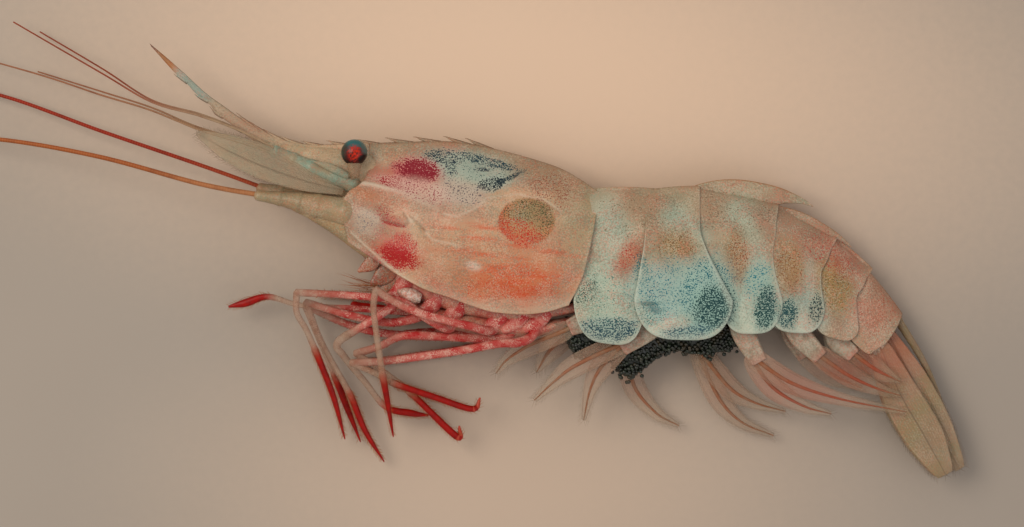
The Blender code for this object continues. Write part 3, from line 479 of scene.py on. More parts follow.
class Graph:
    """Nodes of one material, whose patterns are laid out in millimetres of the model's own space."""

    def __init__(self, name: str) -> None:
        """Start a material and its place in millimetres."""
        self.material = bpy.data.materials.new(name)
        self.material.use_nodes = True
        self.tree = self.material.node_tree
        self.shader = self.tree.nodes["Principled BSDF"]
        source = self.tree.nodes.new("ShaderNodeTexCoord").outputs["Object"]
        self.place = self.node("ShaderNodeVectorMath", {0: source, "Scale": TO_MM}, operation="SCALE")

    def node(self, kind: str, inputs: dict, output: int | str = 0, **settings: object) -> Socket:
        """Add a node.

        Args:
            kind: Blender's name of the node.
            inputs: Socket name or index, and the value or the socket to link.
            output: The output to give back.
            settings: Properties of the node.

        Returns:
            The output socket.
        """
        made = self.tree.nodes.new(kind)
        for key, value in settings.items():
            setattr(made, key, value)
        for key, value in inputs.items():
            self.put(made.inputs[key], value)
        return made.outputs[output]

    def put(self, socket: Socket, value: object) -> None:
        """Link a socket to an output, or set it to a number or colour."""
        if isinstance(value, Socket):
            self.tree.links.new(value, socket)
        else:
            socket.default_value = value

    def maths(self, kind: str, a: object, b: object = 0.0, c: object = 0.0, clamp: bool = False) -> Socket:
        """Result of a calculation on two or three numbers."""
        return self.node("ShaderNodeMath", {0: a, 1: b, 2: c}, operation=kind, use_clamp=clamp)

    @cache
    def noise(self, size: float, detail: float, stretch: Point = (1, 1, 1)) -> Socket:
        """Noise whose lumps are about that many millimetres, kept so that one node serves every use."""
        where = self.place
        if stretch != (1, 1, 1):
            where = self.node("ShaderNodeMapping", {"Vector": where, "Scale": stretch})
        return self.node("ShaderNodeTexNoise", {"Vector": where, "Scale": 1 / size, "Detail": detail})

    @cache
    def cells(self, size: float) -> Socket:
        """Distance to the nearest of random points about that far apart, in that unit."""
        return self.node("ShaderNodeTexVoronoi", {"Vector": self.place, "Scale": 1 / size}, "Distance")

    @cache
    def mark(self, name: str) -> Socket:
        """A mark on the mesh's points."""
        return self.node("ShaderNodeAttribute", {}, "Fac", attribute_name=name)

    def fade(self, value: Socket, low: float, high: float) -> Socket:
        """Smooth step from 0 at low to 1 at high."""
        return self.node("ShaderNodeMapRange", {"Value": value, "From Min": low, "From Max": high},
                         interpolation_type="SMOOTHSTEP")

    def times(self, a: object, b: object) -> Socket:
        """Product of two numbers."""
        return self.maths("MULTIPLY", a, b)

    def blotch(self, size: float, detail: float, low: float, high: float) -> Socket:
        """Soft patches of noise of that size, from 0 at low to 1 at high."""
        return self.fade(self.noise(size, detail), low, high)

    def spot(self, centre: Point, radii: Point, turn: float, soft: float, wobble: float) -> Socket:
        """Soft ellipse of the side view, the same on both sides, its edge moved in and out by noise.

        Args:
            centre: X and Y of its middle.
            radii: Its half sizes.
            turn: Its turn in degrees.
            soft: Width of its edge as a share of its size.
            wobble: How far noise moves the edge, as a share of its size.

        Returns:
            1 inside and 0 outside.
        """
        local = self.node("ShaderNodeMapping", {
            "Vector": self.place, "Location": (centre[0], centre[1], 0),
            "Rotation": (0, 0, math.radians(turn)),
            "Scale": (radii[0], radii[1], 1e5)}, vector_type="TEXTURE")
        away = self.node("ShaderNodeVectorMath", {0: local}, "Value", operation="LENGTH")
        moved = self.maths("MULTIPLY_ADD", self.noise(1.1, 3), wobble * 2, away)
        return self.fade(moved, 1 + soft + wobble, 1 - soft + wobble)

    def stipple(self, mask: Socket, size: float, cover: float = 0.8) -> Socket:
        """Ragged specks of pigment about that big, which crowd and merge where the mask is high."""
        bar = self.maths("MULTIPLY_ADD", mask, -0.36 * cover, 0.7)
        over = self.maths("SUBTRACT", self.noise(size, 1), bar)
        specks = self.maths("MULTIPLY", over, 12, clamp=True)
        return self.times(specks, self.fade(mask, 0.0, 0.25))

    def mix(self, share: object, a: object, b: object) -> Socket:
        """Colour between a and b, each a tint or a socket."""
        sides = [value if isinstance(value, Socket) else linear(value) for value in (a, b)]
        return self.node("ShaderNodeMix", {0: share, 6: sides[0], 7: sides[1]}, 2, data_type="RGBA")

    def flecks(self, colour: Socket, amount: float) -> Socket:
        """Strew fine rose, green and dark pigment cells over a colour."""
        layers = (((206, 96, 70), 0.21, 0.6), ((118, 148, 130), 0.24, 0.6), ((222, 206, 184), 0.19, 0.4),
                  ((92, 68, 48), 0.225, 0.55))
        for tint, size, strength in layers:
            spread = self.blotch(14 * size, 2, 0.2, 0.75)
            share = self.maths("MULTIPLY", self.stipple(spread, size, 0.75), amount * strength)
            colour = self.mix(share, colour, tint)
        return colour

    def bump(self, *layers: tuple[Socket, float]) -> None:
        """Bump of several heights, each with its depth in millimetres."""
        normal = None
        for height, depth in layers:
            inputs = {"Height": height, "Distance": depth * MM, "Strength": 1.0}
            if normal is not None:
                inputs["Normal"] = normal
            normal = self.node("ShaderNodeBump", inputs)
        self.put(self.shader.inputs["Normal"], normal)

    def close(self, colour: object, alpha: object, rough: float, coat: float = 0.0, coat_rough: float = 0.15,
              specular: float = 0.5) -> Material:
        """Set the shader.

        Args:
            colour: Base colour, a socket or a tint.
            alpha: Opacity.
            rough: Roughness.
            coat: Weight of the wet coat.
            coat_rough: Roughness of the coat.
            specular: Level of the plain reflection.

        Returns:
            The material.
        """
        for name, value in (("Base Color", colour), ("Alpha", alpha), ("Roughness", rough),
                            ("Coat Weight", coat),
                            ("Coat Roughness", coat_rough), ("Specular IOR Level", specular)):
            self.put(self.shader.inputs[name], value)
        return self.material


@dataclass(frozen=True)
class Patch:
    """A patch of pigment on the side view of the shell: an ellipse, with or without one bitten out of it."""

    centre: Point
    radii: Point
    tint: Tint
    turn: float = 0.0
    strength: float = 1.0
    soft: float = 0.45
    wobble: float = 0.22
    weave: Weave = Weave.WASH
    bite: tuple[Point, Point] | None = None
    between: Tint | None = None

    def paint(self, graph: Graph, colour: Socket) -> Socket:
        """Colour with this patch laid over it."""
        mask = graph.spot(self.centre, self.radii, self.turn, self.soft, self.wobble)
        if self.bite:
            gone = graph.spot(*self.bite, self.turn, 0.3, self.wobble)
            mask = graph.maths("SUBTRACT", mask, gone, clamp=True)
        if self.weave is Weave.WASH:
            return graph.mix(graph.times(mask, self.strength), colour, self.tint)
        if self.between:
            colour = graph.mix(graph.times(mask, 0.6), colour, self.between)
        crowd = graph.maths("MULTIPLY_ADD", graph.noise(1.3, 3), 0.7, -0.35)
        crowd = graph.maths("ADD", graph.times(mask, self.strength), graph.times(mask, crowd))
        return graph.mix(graph.stipple(crowd, self.weave.value), colour, self.tint)


def wash(x: float, y: float, wide: float, high: float, tint: Tint, turn: float = 0, strength: float = 1,
         soft: float = 0.45, **more: object) -> Patch:
    """Soft wash about a point of the side view."""
    return Patch((x, y), (wide, high), tint, turn, strength, soft, **more)


def coarse(x: float, y: float, wide: float, high: float, tint: Tint, turn: float = 0, strength: float = 1,
           between: Tint | None = None, weave: Weave = Weave.COARSE, **more: object) -> Patch:
    """Dots about a point of the side view, with or without a tint between them."""
    return Patch((x, y), (wide, high), tint, turn, strength, between=between, weave=weave, **more)


def fine(*values: object, **more: object) -> Patch:
    """Finer dots about a point of the side view."""
    return coarse(*values, weave=Weave.FINE, **more)


@dataclass(frozen=True)
class ShellFinish:
    """Thin wet shell over flesh, with washes and dots of pigment."""

    name: str
    base: Tint
    second: Tint
    patches: tuple[Patch, ...] = ()
    streaks: tuple[tuple[Point, Point, float], ...] = ()
    streak_tint: Tint = (186, 78, 42)
    rim_tint: Tint = (186, 192, 176)
    # Tint of the dark mark: brown lines, and painted shade in the carapace's lip and cheek grooves.
    dark_tint: Tint = (104, 70, 46)
    # Tint of the light mark: painted highlights, and pale lines along two grooves of the carapace.
    highlight_and_pale_line_tint: Tint = (206, 190, 170)
    fleck: float = 0.5
    alpha: float = 1.0

    def make(self) -> Material:
        """Build the material: washes, streaks, flecks and dots in turn, then the pale rim, the light mark of
        painted highlights and pale lines, and the dark mark of brown lines and painted groove shade.
        """
        graph = Graph(self.name)
        colour = graph.mix(graph.blotch(4.5, 3, 0.35, 0.65), self.base, self.second)
        for patch in (patch for patch in self.patches if patch.weave is Weave.WASH):
            colour = patch.paint(graph, colour)
        for centre, radii, turn in self.streaks:
            mask = graph.spot(centre, radii, turn, 0.8, 0.3)
            lines = graph.fade(graph.noise(1, 4, (0.3, 1.6, 0.6)), 0.3, 0.7)
            share = graph.times(graph.times(mask, lines), 0.75)
            colour = graph.mix(share, colour, self.streak_tint)
        colour = graph.flecks(colour, self.fleck)
        for patch in (patch for patch in self.patches if patch.weave is not Weave.WASH):
            colour = patch.paint(graph, colour)
        colour = graph.mix(graph.times(graph.mark("rim"), 0.55), colour, self.rim_tint)
        # Painted highlights and pale lines from the light mark.
        colour = graph.mix(graph.mark("light"), colour, self.highlight_and_pale_line_tint)
        # Brown lines and painted groove shade from the dark mark.
        colour = graph.mix(graph.mark("dark"), colour, self.dark_tint)
        graph.bump((graph.noise(1.1, 4), 0.07), (graph.noise(0.3, 2), 0.02), (graph.cells(0.27), 0.01))
        alpha = graph.maths("SUBTRACT", self.alpha, graph.times(graph.mark("thin"), 0.4))
        return graph.close(colour, alpha, 0.45, 0.18, 0.2, 0.3)


@dataclass(frozen=True)
class BladeFinish:
    """Thin horny blade with fine lines along it and a greener tip."""

    name: str
    base: Tint = (152, 126, 94)
    second: Tint = (132, 124, 88)
    line: Tint = (112, 92, 62)
    rib: float = 0.0
    alpha: float = 0.88

    def make(self) -> Material:
        """Build the material: lines run along the blade by the sine of the place across it."""
        graph = Graph(self.name)
        colour = graph.mix(graph.blotch(3, 3, 0.35, 0.65), self.base, self.second)
        colour = graph.flecks(colour, 0.35)
        bent = graph.maths("MULTIPLY_ADD", graph.noise(2, 2), 0.12, graph.mark("across"))
        lines = graph.maths("SINE", graph.times(bent, 46.0))
        share = graph.times(graph.fade(lines, 0.0, 1.0), 0.4)
        colour = graph.mix(share, colour, self.line)
        aside = graph.maths("ABSOLUTE", graph.maths("SUBTRACT", graph.mark("across"), self.rib))
        colour = graph.mix(graph.times(graph.fade(aside, 0.07, 0.01), 0.6), colour, (104, 84, 60))
        colour = graph.mix(graph.mark("red"), colour, (178, 66, 42))
        colour = graph.mix(graph.mark("dark"), colour, (96, 72, 50))
        graph.bump((lines, 0.012), (graph.noise(0.6, 3), 0.03))
        return graph.close(colour, self.alpha, 0.4, 0.25, 0.2)


@dataclass(frozen=True)
class LimbFinish:
    """Leg shell: crimson dots near the body, clear and pale at the knee, and deep red beyond."""

    name: str
    flesh: Tint = (192, 112, 100)
    dots: Tint = (166, 8, 14)
    clear: Tint = (172, 146, 124)
    red: Tint = (152, 10, 0)

    def make(self) -> Material:
        """Build the material from the marks pale and red of the leg."""
        graph = Graph(self.name)
        colour = graph.mix(graph.blotch(1.6, 3, 0.3, 0.7), self.flesh, (172, 44, 44))
        crowd = graph.maths("MULTIPLY_ADD", graph.blotch(1.4, 3, 0.3, 0.7), 0.6, 0.25)
        colour = graph.mix(graph.stipple(crowd, 0.16), colour, self.dots)
        colour = graph.mix(graph.stipple(graph.blotch(1.1, 3, 0.3, 0.7), 0.16), colour, (200, 150, 136))
        glass = graph.mix(graph.blotch(0.9, 3, 0.4, 0.7), self.clear, (160, 122, 98))
        colour = graph.mix(graph.mark("pale"), colour, glass)
        deep = graph.mix(graph.blotch(0.7, 3, 0.35, 0.7), self.red, (128, 8, 3))
        colour = graph.mix(graph.mark("red"), colour, deep)
        colour = graph.mix(graph.times(graph.mark("rust"), 0.6), colour, (170, 74, 26))
        graph.bump((graph.noise(0.5, 3), 0.03), (graph.cells(0.24), 0.008))
        clear = graph.times(graph.mark("pale"), 0.55)
        return graph.close(colour, graph.maths("SUBTRACT", 1.0, clear), 0.45, 0.06, specular=0.16)


@dataclass(frozen=True)
class WhipFinish:
    """Feeler of many short rings whose colour changes along it."""

    name: str
    near: Tint
    far: Tint
    change: tuple[float, float]
    ring: float = 0.36

    def make(self) -> Material:
        """Build the material: rings are the sine of the distance along the feeler."""
        graph = Graph(self.name)
        colour = graph.mix(graph.fade(graph.mark("run"), *self.change), self.near, self.far)
        turns = graph.maths("SINE", graph.times(graph.mark("run"), math.tau / self.ring))
        joint = graph.fade(turns, 0.4, 0.95)
        colour = graph.mix(graph.times(joint, 0.16), colour, (200, 140, 96))
        colour = graph.mix(graph.times(graph.blotch(1.4, 3, 0.45, 0.75), 0.35), colour,
                           (92, 34, 16))
        graph.bump((turns, 0.006), (graph.noise(0.4, 2), 0.02))
        return graph.close(colour, 1.0, 0.45, 0.05, 0.2, 0.16)


@dataclass(frozen=True)
class PlainFinish:
    """Soft, clear or horny matter of one tint, mottled with a second one."""

    name: str
    base: Tint
    second: Tint
    grain: float = 0.8
    alpha: float = 1.0
    fleck: float = 0.0
    depth: float = 0.03
    roughness: float = 0.4
    coat: float = 0.3

    def make(self) -> Material:
        """Build the material."""
        graph = Graph(self.name)
        colour = graph.mix(graph.blotch(self.grain, 3, 0.35, 0.65), self.base, self.second)
        if self.fleck:
            colour = graph.flecks(colour, self.fleck)
        colour = graph.mix(graph.mark("red"), colour, (168, 52, 26))
        colour = graph.mix(graph.mark("dark"), colour, (104, 66, 40))
        graph.bump((graph.noise(self.grain * 0.5, 4), self.depth))
        return graph.close(colour, self.alpha, self.roughness, self.coat, specular=0.35)


@dataclass(frozen=True)
class EyeFinish:
    """Dark faceted eye with a teal upper rim and a painted glow of red-orange low in the middle."""

    name: str
    centre: Point
    facet: float = 0.09

    def make(self) -> Material:
        """Build the material, whose glow is set about the middle of the eye."""
        graph = Graph(self.name)
        x, y = self.centre
        # The red-orange glow is painted into the colour with this flame pattern; the eye gives off no light.
        flame = graph.blotch(0.3, 2, 0.25, 0.7)
        colour = (16, 13, 11)
        for right, up, wide, high, turn, soft, wobble, glows, tint in (
                (0.1, 1.3, 1.9, 0.8, 0, 0.6, 0.5, False, (34, 96, 100)),
                (1.45, 0.5, 0.5, 1.2, 12, 0.6, 0.3, False, (72, 96, 92)),
                (-1.35, 0.2, 0.45, 1.2, -8, 0.6, 0.3, False, (44, 54, 46)),
                (0.05, -0.25, 1.2, 1.1, 0, 0.5, 0.2, True, (104, 10, 3)),
                (0.15, -0.2, 0.75, 1.0, 14, 0.6, 0.2, True, (202, 40, 6)),
                (1.2, -0.85, 0.8, 0.55, 25, 0.4, 0.2, False, (6, 4, 4)),
                (0, -1.6, 1.6, 0.25, 0, 0.4, 0.1, False, (8, 5, 5))):
            mask = graph.spot((x + right, y + up), (wide, high), turn, soft, wobble)
            colour = graph.mix(graph.times(mask, flame) if glows else mask, colour, tint)
        graph.bump((graph.cells(self.facet), 0.006))
        return graph.close(colour, 1.0, 0.35, 0.12, 0.1, 0.2)


@dataclass(frozen=True)
class EggFinish:
    """Near-black green eggs, some with a paler yolk."""

    name: str

    def make(self) -> Material:
        """Build the material, whose tint changes from egg to egg."""
        graph = Graph(self.name)
        colour = graph.mix(graph.blotch(0.6, 2, 0.4, 0.7), (13, 17, 11), (32, 42, 28))
        colour = graph.mix(graph.blotch(2.2, 2, 0.5, 0.7), colour, (48, 38, 18))
        graph.bump((graph.noise(0.12, 2), 0.01))
        return graph.close(colour, 1.0, 0.4, 0.15)


CARAPACE_FINISH = ShellFinish(
    "carapace_shell", (186, 148, 116), (178, 134, 106),
    patches=(
        wash(10.5, 1.5, 3.2, 8.5, (158, 144, 112), 0, 0.85, 0.8),
        wash(-1, 10.8, 15.5, 2.6, (150, 124, 98), -6, 0.9, 0.6),
        wash(-7.6, 10.6, 4.6, 1.7, (158, 100, 78), -4, 0.6, 0.7),
        wash(6.4, 7.6, 3.4, 2.6, (152, 112, 84), -30, 0.6, 0.7),
        wash(-9.6, 5.6, 8, 2.6, (178, 128, 108), -14, 0.7, 0.6),
        wash(-17.6, 2, 3.4, 3.6, (148, 108, 86), 0, 0.9, 0.6),
        wash(-18.3, 6.2, 2.6, 0.8, (176, 112, 78), -16, 0.7, 0.6),
        wash(-27.5, 12, 8, 2, (196, 166, 134), 0, 0.9, 0.5),
        wash(-36, 16.9, 3.2, 1.7, (176, 150, 124), -40, 0.9, 0.5),
        wash(-40, 20.2, 2.9, 1.3, (142, 160, 150), -42, 0.9, 0.4),
        wash(-44.2, 23.9, 2.5, 1, (170, 100, 30), -47, 0.95, 0.35),
        wash(-45.6, 25.5, 1.3, 0.9, (110, 24, 8), -47, 1, 0.35),
        wash(-5.8, 5.2, 4.6, 1.8, (170, 164, 146), -8, 0.4, 0.7),
        wash(-3.6, 9.3, 5.2, 1.9, (134, 154, 142), -10, 0.85, 0.6),
        wash(-13.4, 8, 5, 1.5, (178, 92, 78), -6, 0.6, 0.7),
        wash(-10.9, 8.7, 2.8, 1.4, (176, 50, 60), -12, 0.8, 0.6),
        wash(-13.6, 2.3, 1.9, 0.7, (168, 78, 64), -14, 0.7, 0.6),
        wash(-13, -1.9, 3, 1.7, (182, 62, 48), -16, 0.9, 0.5, wobble=0.5),
        wash(-12.6, -0.5, 1.6, 1.5, (186, 70, 60), 0, 0.7, 0.6, wobble=0.5),
        wash(-15.7, -3.1, 2.6, 0.55, (150, 24, 10), -38, 0.95, 0.5),
        wash(2.6, 3.4, 5.3, 3.3, (196, 158, 126), 0, 0.7, 0.25),
        wash(3.45, 2.4, 3.65, 2.95, (166, 122, 76), 0, 0.95, 0.05, wobble=0.04),
        wash(4.2, 3.4, 2.6, 1.7, (140, 126, 92), 0, 0.7, 0.5),
        wash(3.45, 2.4, 3.65, 2.95, (196, 44, 8), 0, 1, 0.06, wobble=0.04, bite=((4.1, 3.05), (3.8, 3.05))),
        wash(0, -3.4, 9.5, 5, (188, 128, 92), -4, 0.6, 0.7),
        wash(2.2, -5.6, 6.4, 2.8, (190, 92, 44), 2, 0.75, 0.7, wobble=0.4),
        # Painted highlight: a small pale glint on the lower flank.
        wash(-3.4, -3.4, 1, 0.6, (206, 184, 168), -20, 0.7, 0.6, wobble=0.5),
        wash(2.5, -8.4, 10.5, 1, (184, 146, 122), 2, 0.7, 0.6),
        wash(-7.2, -6.4, 3.6, 0.7, (186, 118, 96), -30, 0.6, 0.6),
        coarse(-4.6, 9.2, 6.2, 2.2, (30, 66, 72), -10, 0.36, (160, 172, 158)),
        coarse(-7.2, 10.7, 2.9, 1.1, (14, 40, 52), -4, 0.85),
        coarse(-1.6, 10.1, 4.8, 0.7, (10, 48, 60), -15, 0.85),
        coarse(-6.6, 9.3, 1.4, 1.6, (20, 40, 54), 20, 0.55),
        fine(-2.2, 9.1, 1, 0.3, (6, 34, 50), -6, 0.95),
        coarse(-1.1, 7.2, 2, 0.95, (8, 30, 38), 12, 1, (166, 178, 166)),
        fine(1.2, 8, 2.4, 0.35, (10, 40, 50), 25),
        coarse(-5.4, 6.2, 3.6, 1.5, (74, 66, 76), -12, 0.5, (184, 170, 156)),
        coarse(6.6, 6.2, 3, 2.6, (130, 62, 40), 0, 0.5),
        coarse(-10.6, 8.9, 2.9, 1.7, (126, 0, 26), -8, 1.3, (200, 120, 118)),
        fine(-13.3, 7.3, 2.8, 0.95, (146, 6, 26), -14, 0.85, (206, 160, 150)),
        coarse(-10, 6.3, 3.6, 1.5, (136, 34, 52), -14, 0.5, (204, 170, 154)),
        fine(-17.2, 2.3, 1.9, 1.7, (84, 88, 96), 0, 0.4, (176, 156, 138)),
        fine(-14.9, 3.5, 1.6, 0.9, (150, 30, 36), -24, 0.5),
        fine(-13.6, 2, 1.9, 0.28, (150, 20, 14), -13),
        coarse(-13, -2.2, 2.7, 1.5, (160, 8, 6), -16, 1.15, wobble=0.5),
        fine(-12.6, -0.7, 1.9, 1.7, (166, 8, 16), 0, 0.8, wobble=0.5),
        fine(-14.6, 0.4, 2.6, 1.6, (170, 84, 86), -30, 0.4),
        fine(3.45, 2.4, 3.7, 3, (72, 70, 40), 0, 0.62, wobble=0.05, soft=0.1),
        fine(2.6, 1, 3, 1.7, (176, 36, 6), -20, 0.75, soft=0.4),
        coarse(2, -5.6, 6.6, 2.6, (190, 60, 20), 0, 0.42, wobble=0.4),
    ),
    streaks=(((0.8, -4), (3.4, 0.8), 0), ((3.2, -5.4), (5, 0.9), 6), ((2, -6.9), (5.4, 1.2), 0),
             ((6.6, -1.5), (3.6, 0.4), -10), ((-2.4, 0.3), (6.4, 0.5), -14), ((-1.2, 1.6), (3, 0.35), -6),
             ((-2, -2), (5, 0.5), -8)),
    streak_tint=(194, 74, 30))

ABDOMEN_FINISH = ShellFinish(
    "abdomen_shell", (168, 150, 124), (156, 138, 112),
    patches=(
        wash(51, -9, 9, 9, (166, 128, 102), -50, 0.95, 0.6),
        wash(42, -2, 8, 4.6, (160, 128, 104), -38, 0.9, 0.6),
        wash(14.2, 1.6, 2.4, 3.8, (166, 176, 158), 10, 0.85, 0.7),
        wash(22.8, 2.8, 2.6, 1.6, (160, 170, 152), -20, 0.85, 0.7),
        wash(25.6, 0.6, 1.6, 1.8, (158, 166, 148), 0, 0.7, 0.7),
        wash(31.1, 2.9, 2, 3, (160, 170, 150), -10, 0.85, 0.7),
        wash(33.4, -2.2, 1.3, 4, (156, 162, 142), 10, 0.7, 0.7),
        wash(39.9, -5.6, 1.3, 3.6, (160, 156, 138), 10, 0.7, 0.7),
        wash(46.4, -8.4, 1.6, 3, (172, 150, 130), -20, 0.6, 0.7),
        wash(18.6, 4.2, 2.6, 2, (152, 116, 88), 0, 0.6, 0.7),
        wash(27.2, 3.8, 1.8, 2.4, (154, 116, 88), 0, 0.55, 0.7),
        wash(35.6, 2.8, 2.4, 2.4, (160, 116, 94), -30, 0.6, 0.7),
        wash(13.6, -7.4, 4.2, 5.6, (164, 178, 160), 0, 0.95, 0.5),
        wash(23.8, -8.2, 6.8, 5.6, (146, 176, 168), 0, 0.95, 0.45),
        wash(33.4, -8, 3.6, 5.4, (150, 170, 156), 0, 0.95, 0.5),
        wash(39.2, -9.6, 3.4, 3.4, (150, 164, 152), 0, 0.9, 0.5),
        wash(16.6, -2.6, 1.4, 2.4, (162, 98, 68), -28, 0.8, 0.7, wobble=0.4),
        wash(22.9, -1.8, 2.6, 2.8, (150, 118, 76), 0, 0.85, 0.6, wobble=0.4),
        wash(30.5, -2.2, 1.6, 3.6, (150, 108, 66), 4, 0.85, 0.6, wobble=0.4),
        wash(37.3, -3.6, 2, 3.4, (152, 112, 66), 8, 0.8, 0.6, wobble=0.4),
        wash(43.5, -6, 2.2, 3.6, (148, 118, 64), 14, 0.85, 0.6, wobble=0.4),
        wash(44.4, -2.6, 3.4, 1.8, (170, 92, 74), -40, 0.5, 0.7),
        wash(48.6, -9.2, 2.6, 2.6, (174, 112, 90), -40, 0.5, 0.7),
        wash(20.6, -11.9, 5.2, 1.1, (178, 186, 170), 26, 0.85, 0.25),
        wash(32, -10, 1, 3, (178, 186, 168), 8, 0.8, 0.3),
        wash(39.4, -10.6, 1.2, 2.4, (178, 180, 162), 24, 0.75, 0.4),
        wash(19.2, -8.25, 1.2, 0.34, (6, 24, 30), -4, 1, 0.4, wobble=0.5),
        wash(19.9, -9, 0.9, 0.5, (30, 76, 88), -20, 0.8, 0.5, wobble=0.5),
        coarse(16.8, -2.4, 1.5, 2.8, (160, 50, 34), -28, 0.5),
        coarse(22.9, -1.8, 3, 3.2, (104, 74, 34), 0, 0.5),
        coarse(30.8, -2.8, 1.7, 3.8, (120, 62, 30), 0, 0.55),
        coarse(37.4, -4, 2.2, 3.6, (120, 72, 34), 0, 0.5),
        coarse(43.5, -6, 2.4, 3.8, (104, 82, 30), 0, 0.45),
        coarse(42.6, -1.4, 5.4, 2.4, (160, 64, 50), -36, 0.45),
        coarse(49, -8.4, 4.4, 3.6, (156, 84, 60), -50, 0.4),
        coarse(18, 3, 7, 3.4, (112, 92, 66), 0, 0.3),
        coarse(30, 3.4, 8, 3.4, (110, 90, 68), -10, 0.3),
        coarse(13.6, -11.8, 4.6, 1.8, (8, 56, 70), 4, 0.8, (134, 160, 152), soft=0.3),
        coarse(13.8, -7.6, 4, 4, (60, 108, 100), 0, 0.32),
        fine(11, -6.8, 1.5, 2.2, (40, 66, 56), -24, 0.6),
        coarse(18.6, -5, 1.3, 3.4, (12, 84, 88), 10, 0.75),
        coarse(22.6, -6, 5.6, 3.4, (14, 100, 116), 0, 0.5, (150, 174, 164)),
        fine(19.6, -9.4, 2.2, 1.9, (24, 92, 94), 20, 0.55),
        coarse(26.6, -6.4, 3.6, 4.4, (6, 92, 104), -24, 0.66, (144, 174, 162)),
        coarse(27.6, -8.9, 2.7, 3.4, (0, 56, 58), -24, 1, (124, 160, 150)),
        coarse(23.8, -12.2, 3.6, 1.2, (6, 66, 80), 10, 0.8, (136, 164, 156)),
        coarse(33.4, -5.2, 1.8, 2.6, (20, 110, 122), -20, 0.55, (150, 174, 160)),
        coarse(34.4, -8.8, 1.5, 3, (0, 58, 58), -6, 1, (122, 156, 146)),
        coarse(37.2, -9.7, 1.3, 2.2, (6, 62, 66), -10, 0.95, (130, 156, 142)),
        coarse(41, -9, 1.1, 2, (24, 50, 48), -10, 0.8, (146, 152, 134)),
    ), dark_tint=(150, 92, 38), fleck=0.55)

BODY_FLESH = PlainFinish("belly_flesh", (176, 142, 114), (160, 122, 96), fleck=0.7)
HEAD_FLESH = PlainFinish("head_flesh", (184, 154, 122), (166, 142, 112), 1.6, fleck=0.5, coat=0.1)
BASE_FLESH = PlainFinish("feeler_root", (160, 130, 94), (146, 124, 92), 1.4, fleck=0.4, coat=0.08)
STALK_FINISH = PlainFinish("stalk_membrane", (178, 146, 114), (160, 134, 106), 1, fleck=0.4, alpha=0.42,
                           coat=0.0)
MINT_FINISH = PlainFinish("feeler_base", (164, 150, 122), (140, 164, 146), 1.6, fleck=0.45, alpha=0.7,
                          coat=0.05)
TAN_BASE_FINISH = PlainFinish("feeler_stalk", (166, 136, 102), (152, 132, 100), 1.4, fleck=0.4, alpha=0.88,
                              coat=0.06)
SCALE_FINISH = BladeFinish("feeler_scale", (186, 158, 128), (166, 156, 130), (170, 146, 116), rib=0.25,
                           alpha=0.42)
TAIL_FINISH = BladeFinish("tail_blade", (160, 130, 100), (146, 126, 88), (136, 108, 80), alpha=0.82)
LIMB_FINISH = LimbFinish("leg_shell")
CLAW_FINISH = PlainFinish("claw_horn", (112, 10, 4), (74, 16, 8), 0.4, depth=0.015, roughness=0.45, coat=0.05)
STERNUM_FINISH = PlainFinish("underside_shell", (178, 112, 92), (164, 74, 64), 1.2, fleck=0.5, coat=0.05)
MOUTH_FINISH = PlainFinish("mouth_shell", (140, 58, 34), (164, 100, 72), 1.1, fleck=0.6, alpha=0.85,
                           coat=0.12)
LOBE_FINISH = PlainFinish("mouth_lobe", (212, 190, 178), (186, 132, 116), 0.5, fleck=0.8, depth=0.12,
                          coat=0.4)
SWIM_FINISH = PlainFinish("swimming_leg_stalk", (168, 162, 144), (146, 138, 118), 0.9, fleck=0.5, coat=0.06)
AXIS_FINISH = PlainFinish("swimming_leg_axis", (150, 98, 62), (146, 116, 88), 0.9, alpha=0.7, coat=0.05)
FRINGE_FINISH = BladeFinish("swimming_fringe", (186, 158, 130), (172, 150, 124), (150, 116, 88), alpha=0.27)
HAIR_FINISH = PlainFinish("fringe_hair", (150, 124, 98), (134, 108, 84), 0.5, alpha=0.45, depth=0.005)
BRISTLE_FINISH = PlainFinish("leg_bristle", (166, 80, 30), (180, 108, 50), 0.5, alpha=0.8, depth=0.005)
EGG_FINISH = EggFinish("egg_shell")
RED_WHIP = WhipFinish("feeler_red", (150, 58, 30), (140, 30, 8), (2, 16))
ORANGE_WHIP = WhipFinish("feeler_orange", (164, 108, 70), (150, 78, 34), (3, 20))
OUTER_WHIP = WhipFinish("feeler_outer", (154, 130, 104), (134, 56, 34), (8, 26), 0.3)
INNER_WHIP = WhipFinish("feeler_inner", (148, 118, 90), (142, 92, 66), (5, 30), 0.3)


class Bench:
    """Makes finished pieces of surfaces: dresses them, lets them ride and reports them."""

    def __init__(self) -> None:
        """Start the count of triangles."""
        self.faces = 0

    @cache
    def finish(self, finish: object) -> Material:
        """Material of a finish, made once."""
        return finish.make()

    def add(self, name: str, parts: list[Surface], finishes: tuple, slot: str,
            stands_for: tuple[str, ...] = (),
            coat: bool = False) -> bpy.types.Object:
        """Make one piece of the model.

        Args:
            name: Name of the piece.
            parts: Closed surfaces that it is made of.
            finishes: Finishes in the order of the parts' layers.
            slot: Not used.
            stands_for: Nodes that it replaces.
            coat: Whether it is hair, whose unwrap has a name of its own.

        Returns:
            The piece.
        """
        mesh = Surface.join(parts).mesh(name, "OFBake" if coat else "UVMap")
        piece = bpy.data.objects.new(name, mesh)
        bpy.context.scene.collection.objects.link(piece)
        for finish in finishes:
            mesh.materials.append(self.finish(finish))
        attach(piece, ROOT)
        if stands_for:
            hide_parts(*stands_for)
        count = sum(len(face.vertices) - 2 for face in mesh.polygons)
        self.faces += count
        LOG.info("%s: %d triangles, stands for %s", name, count, ", ".join(stands_for) or "nothing")
        return piece


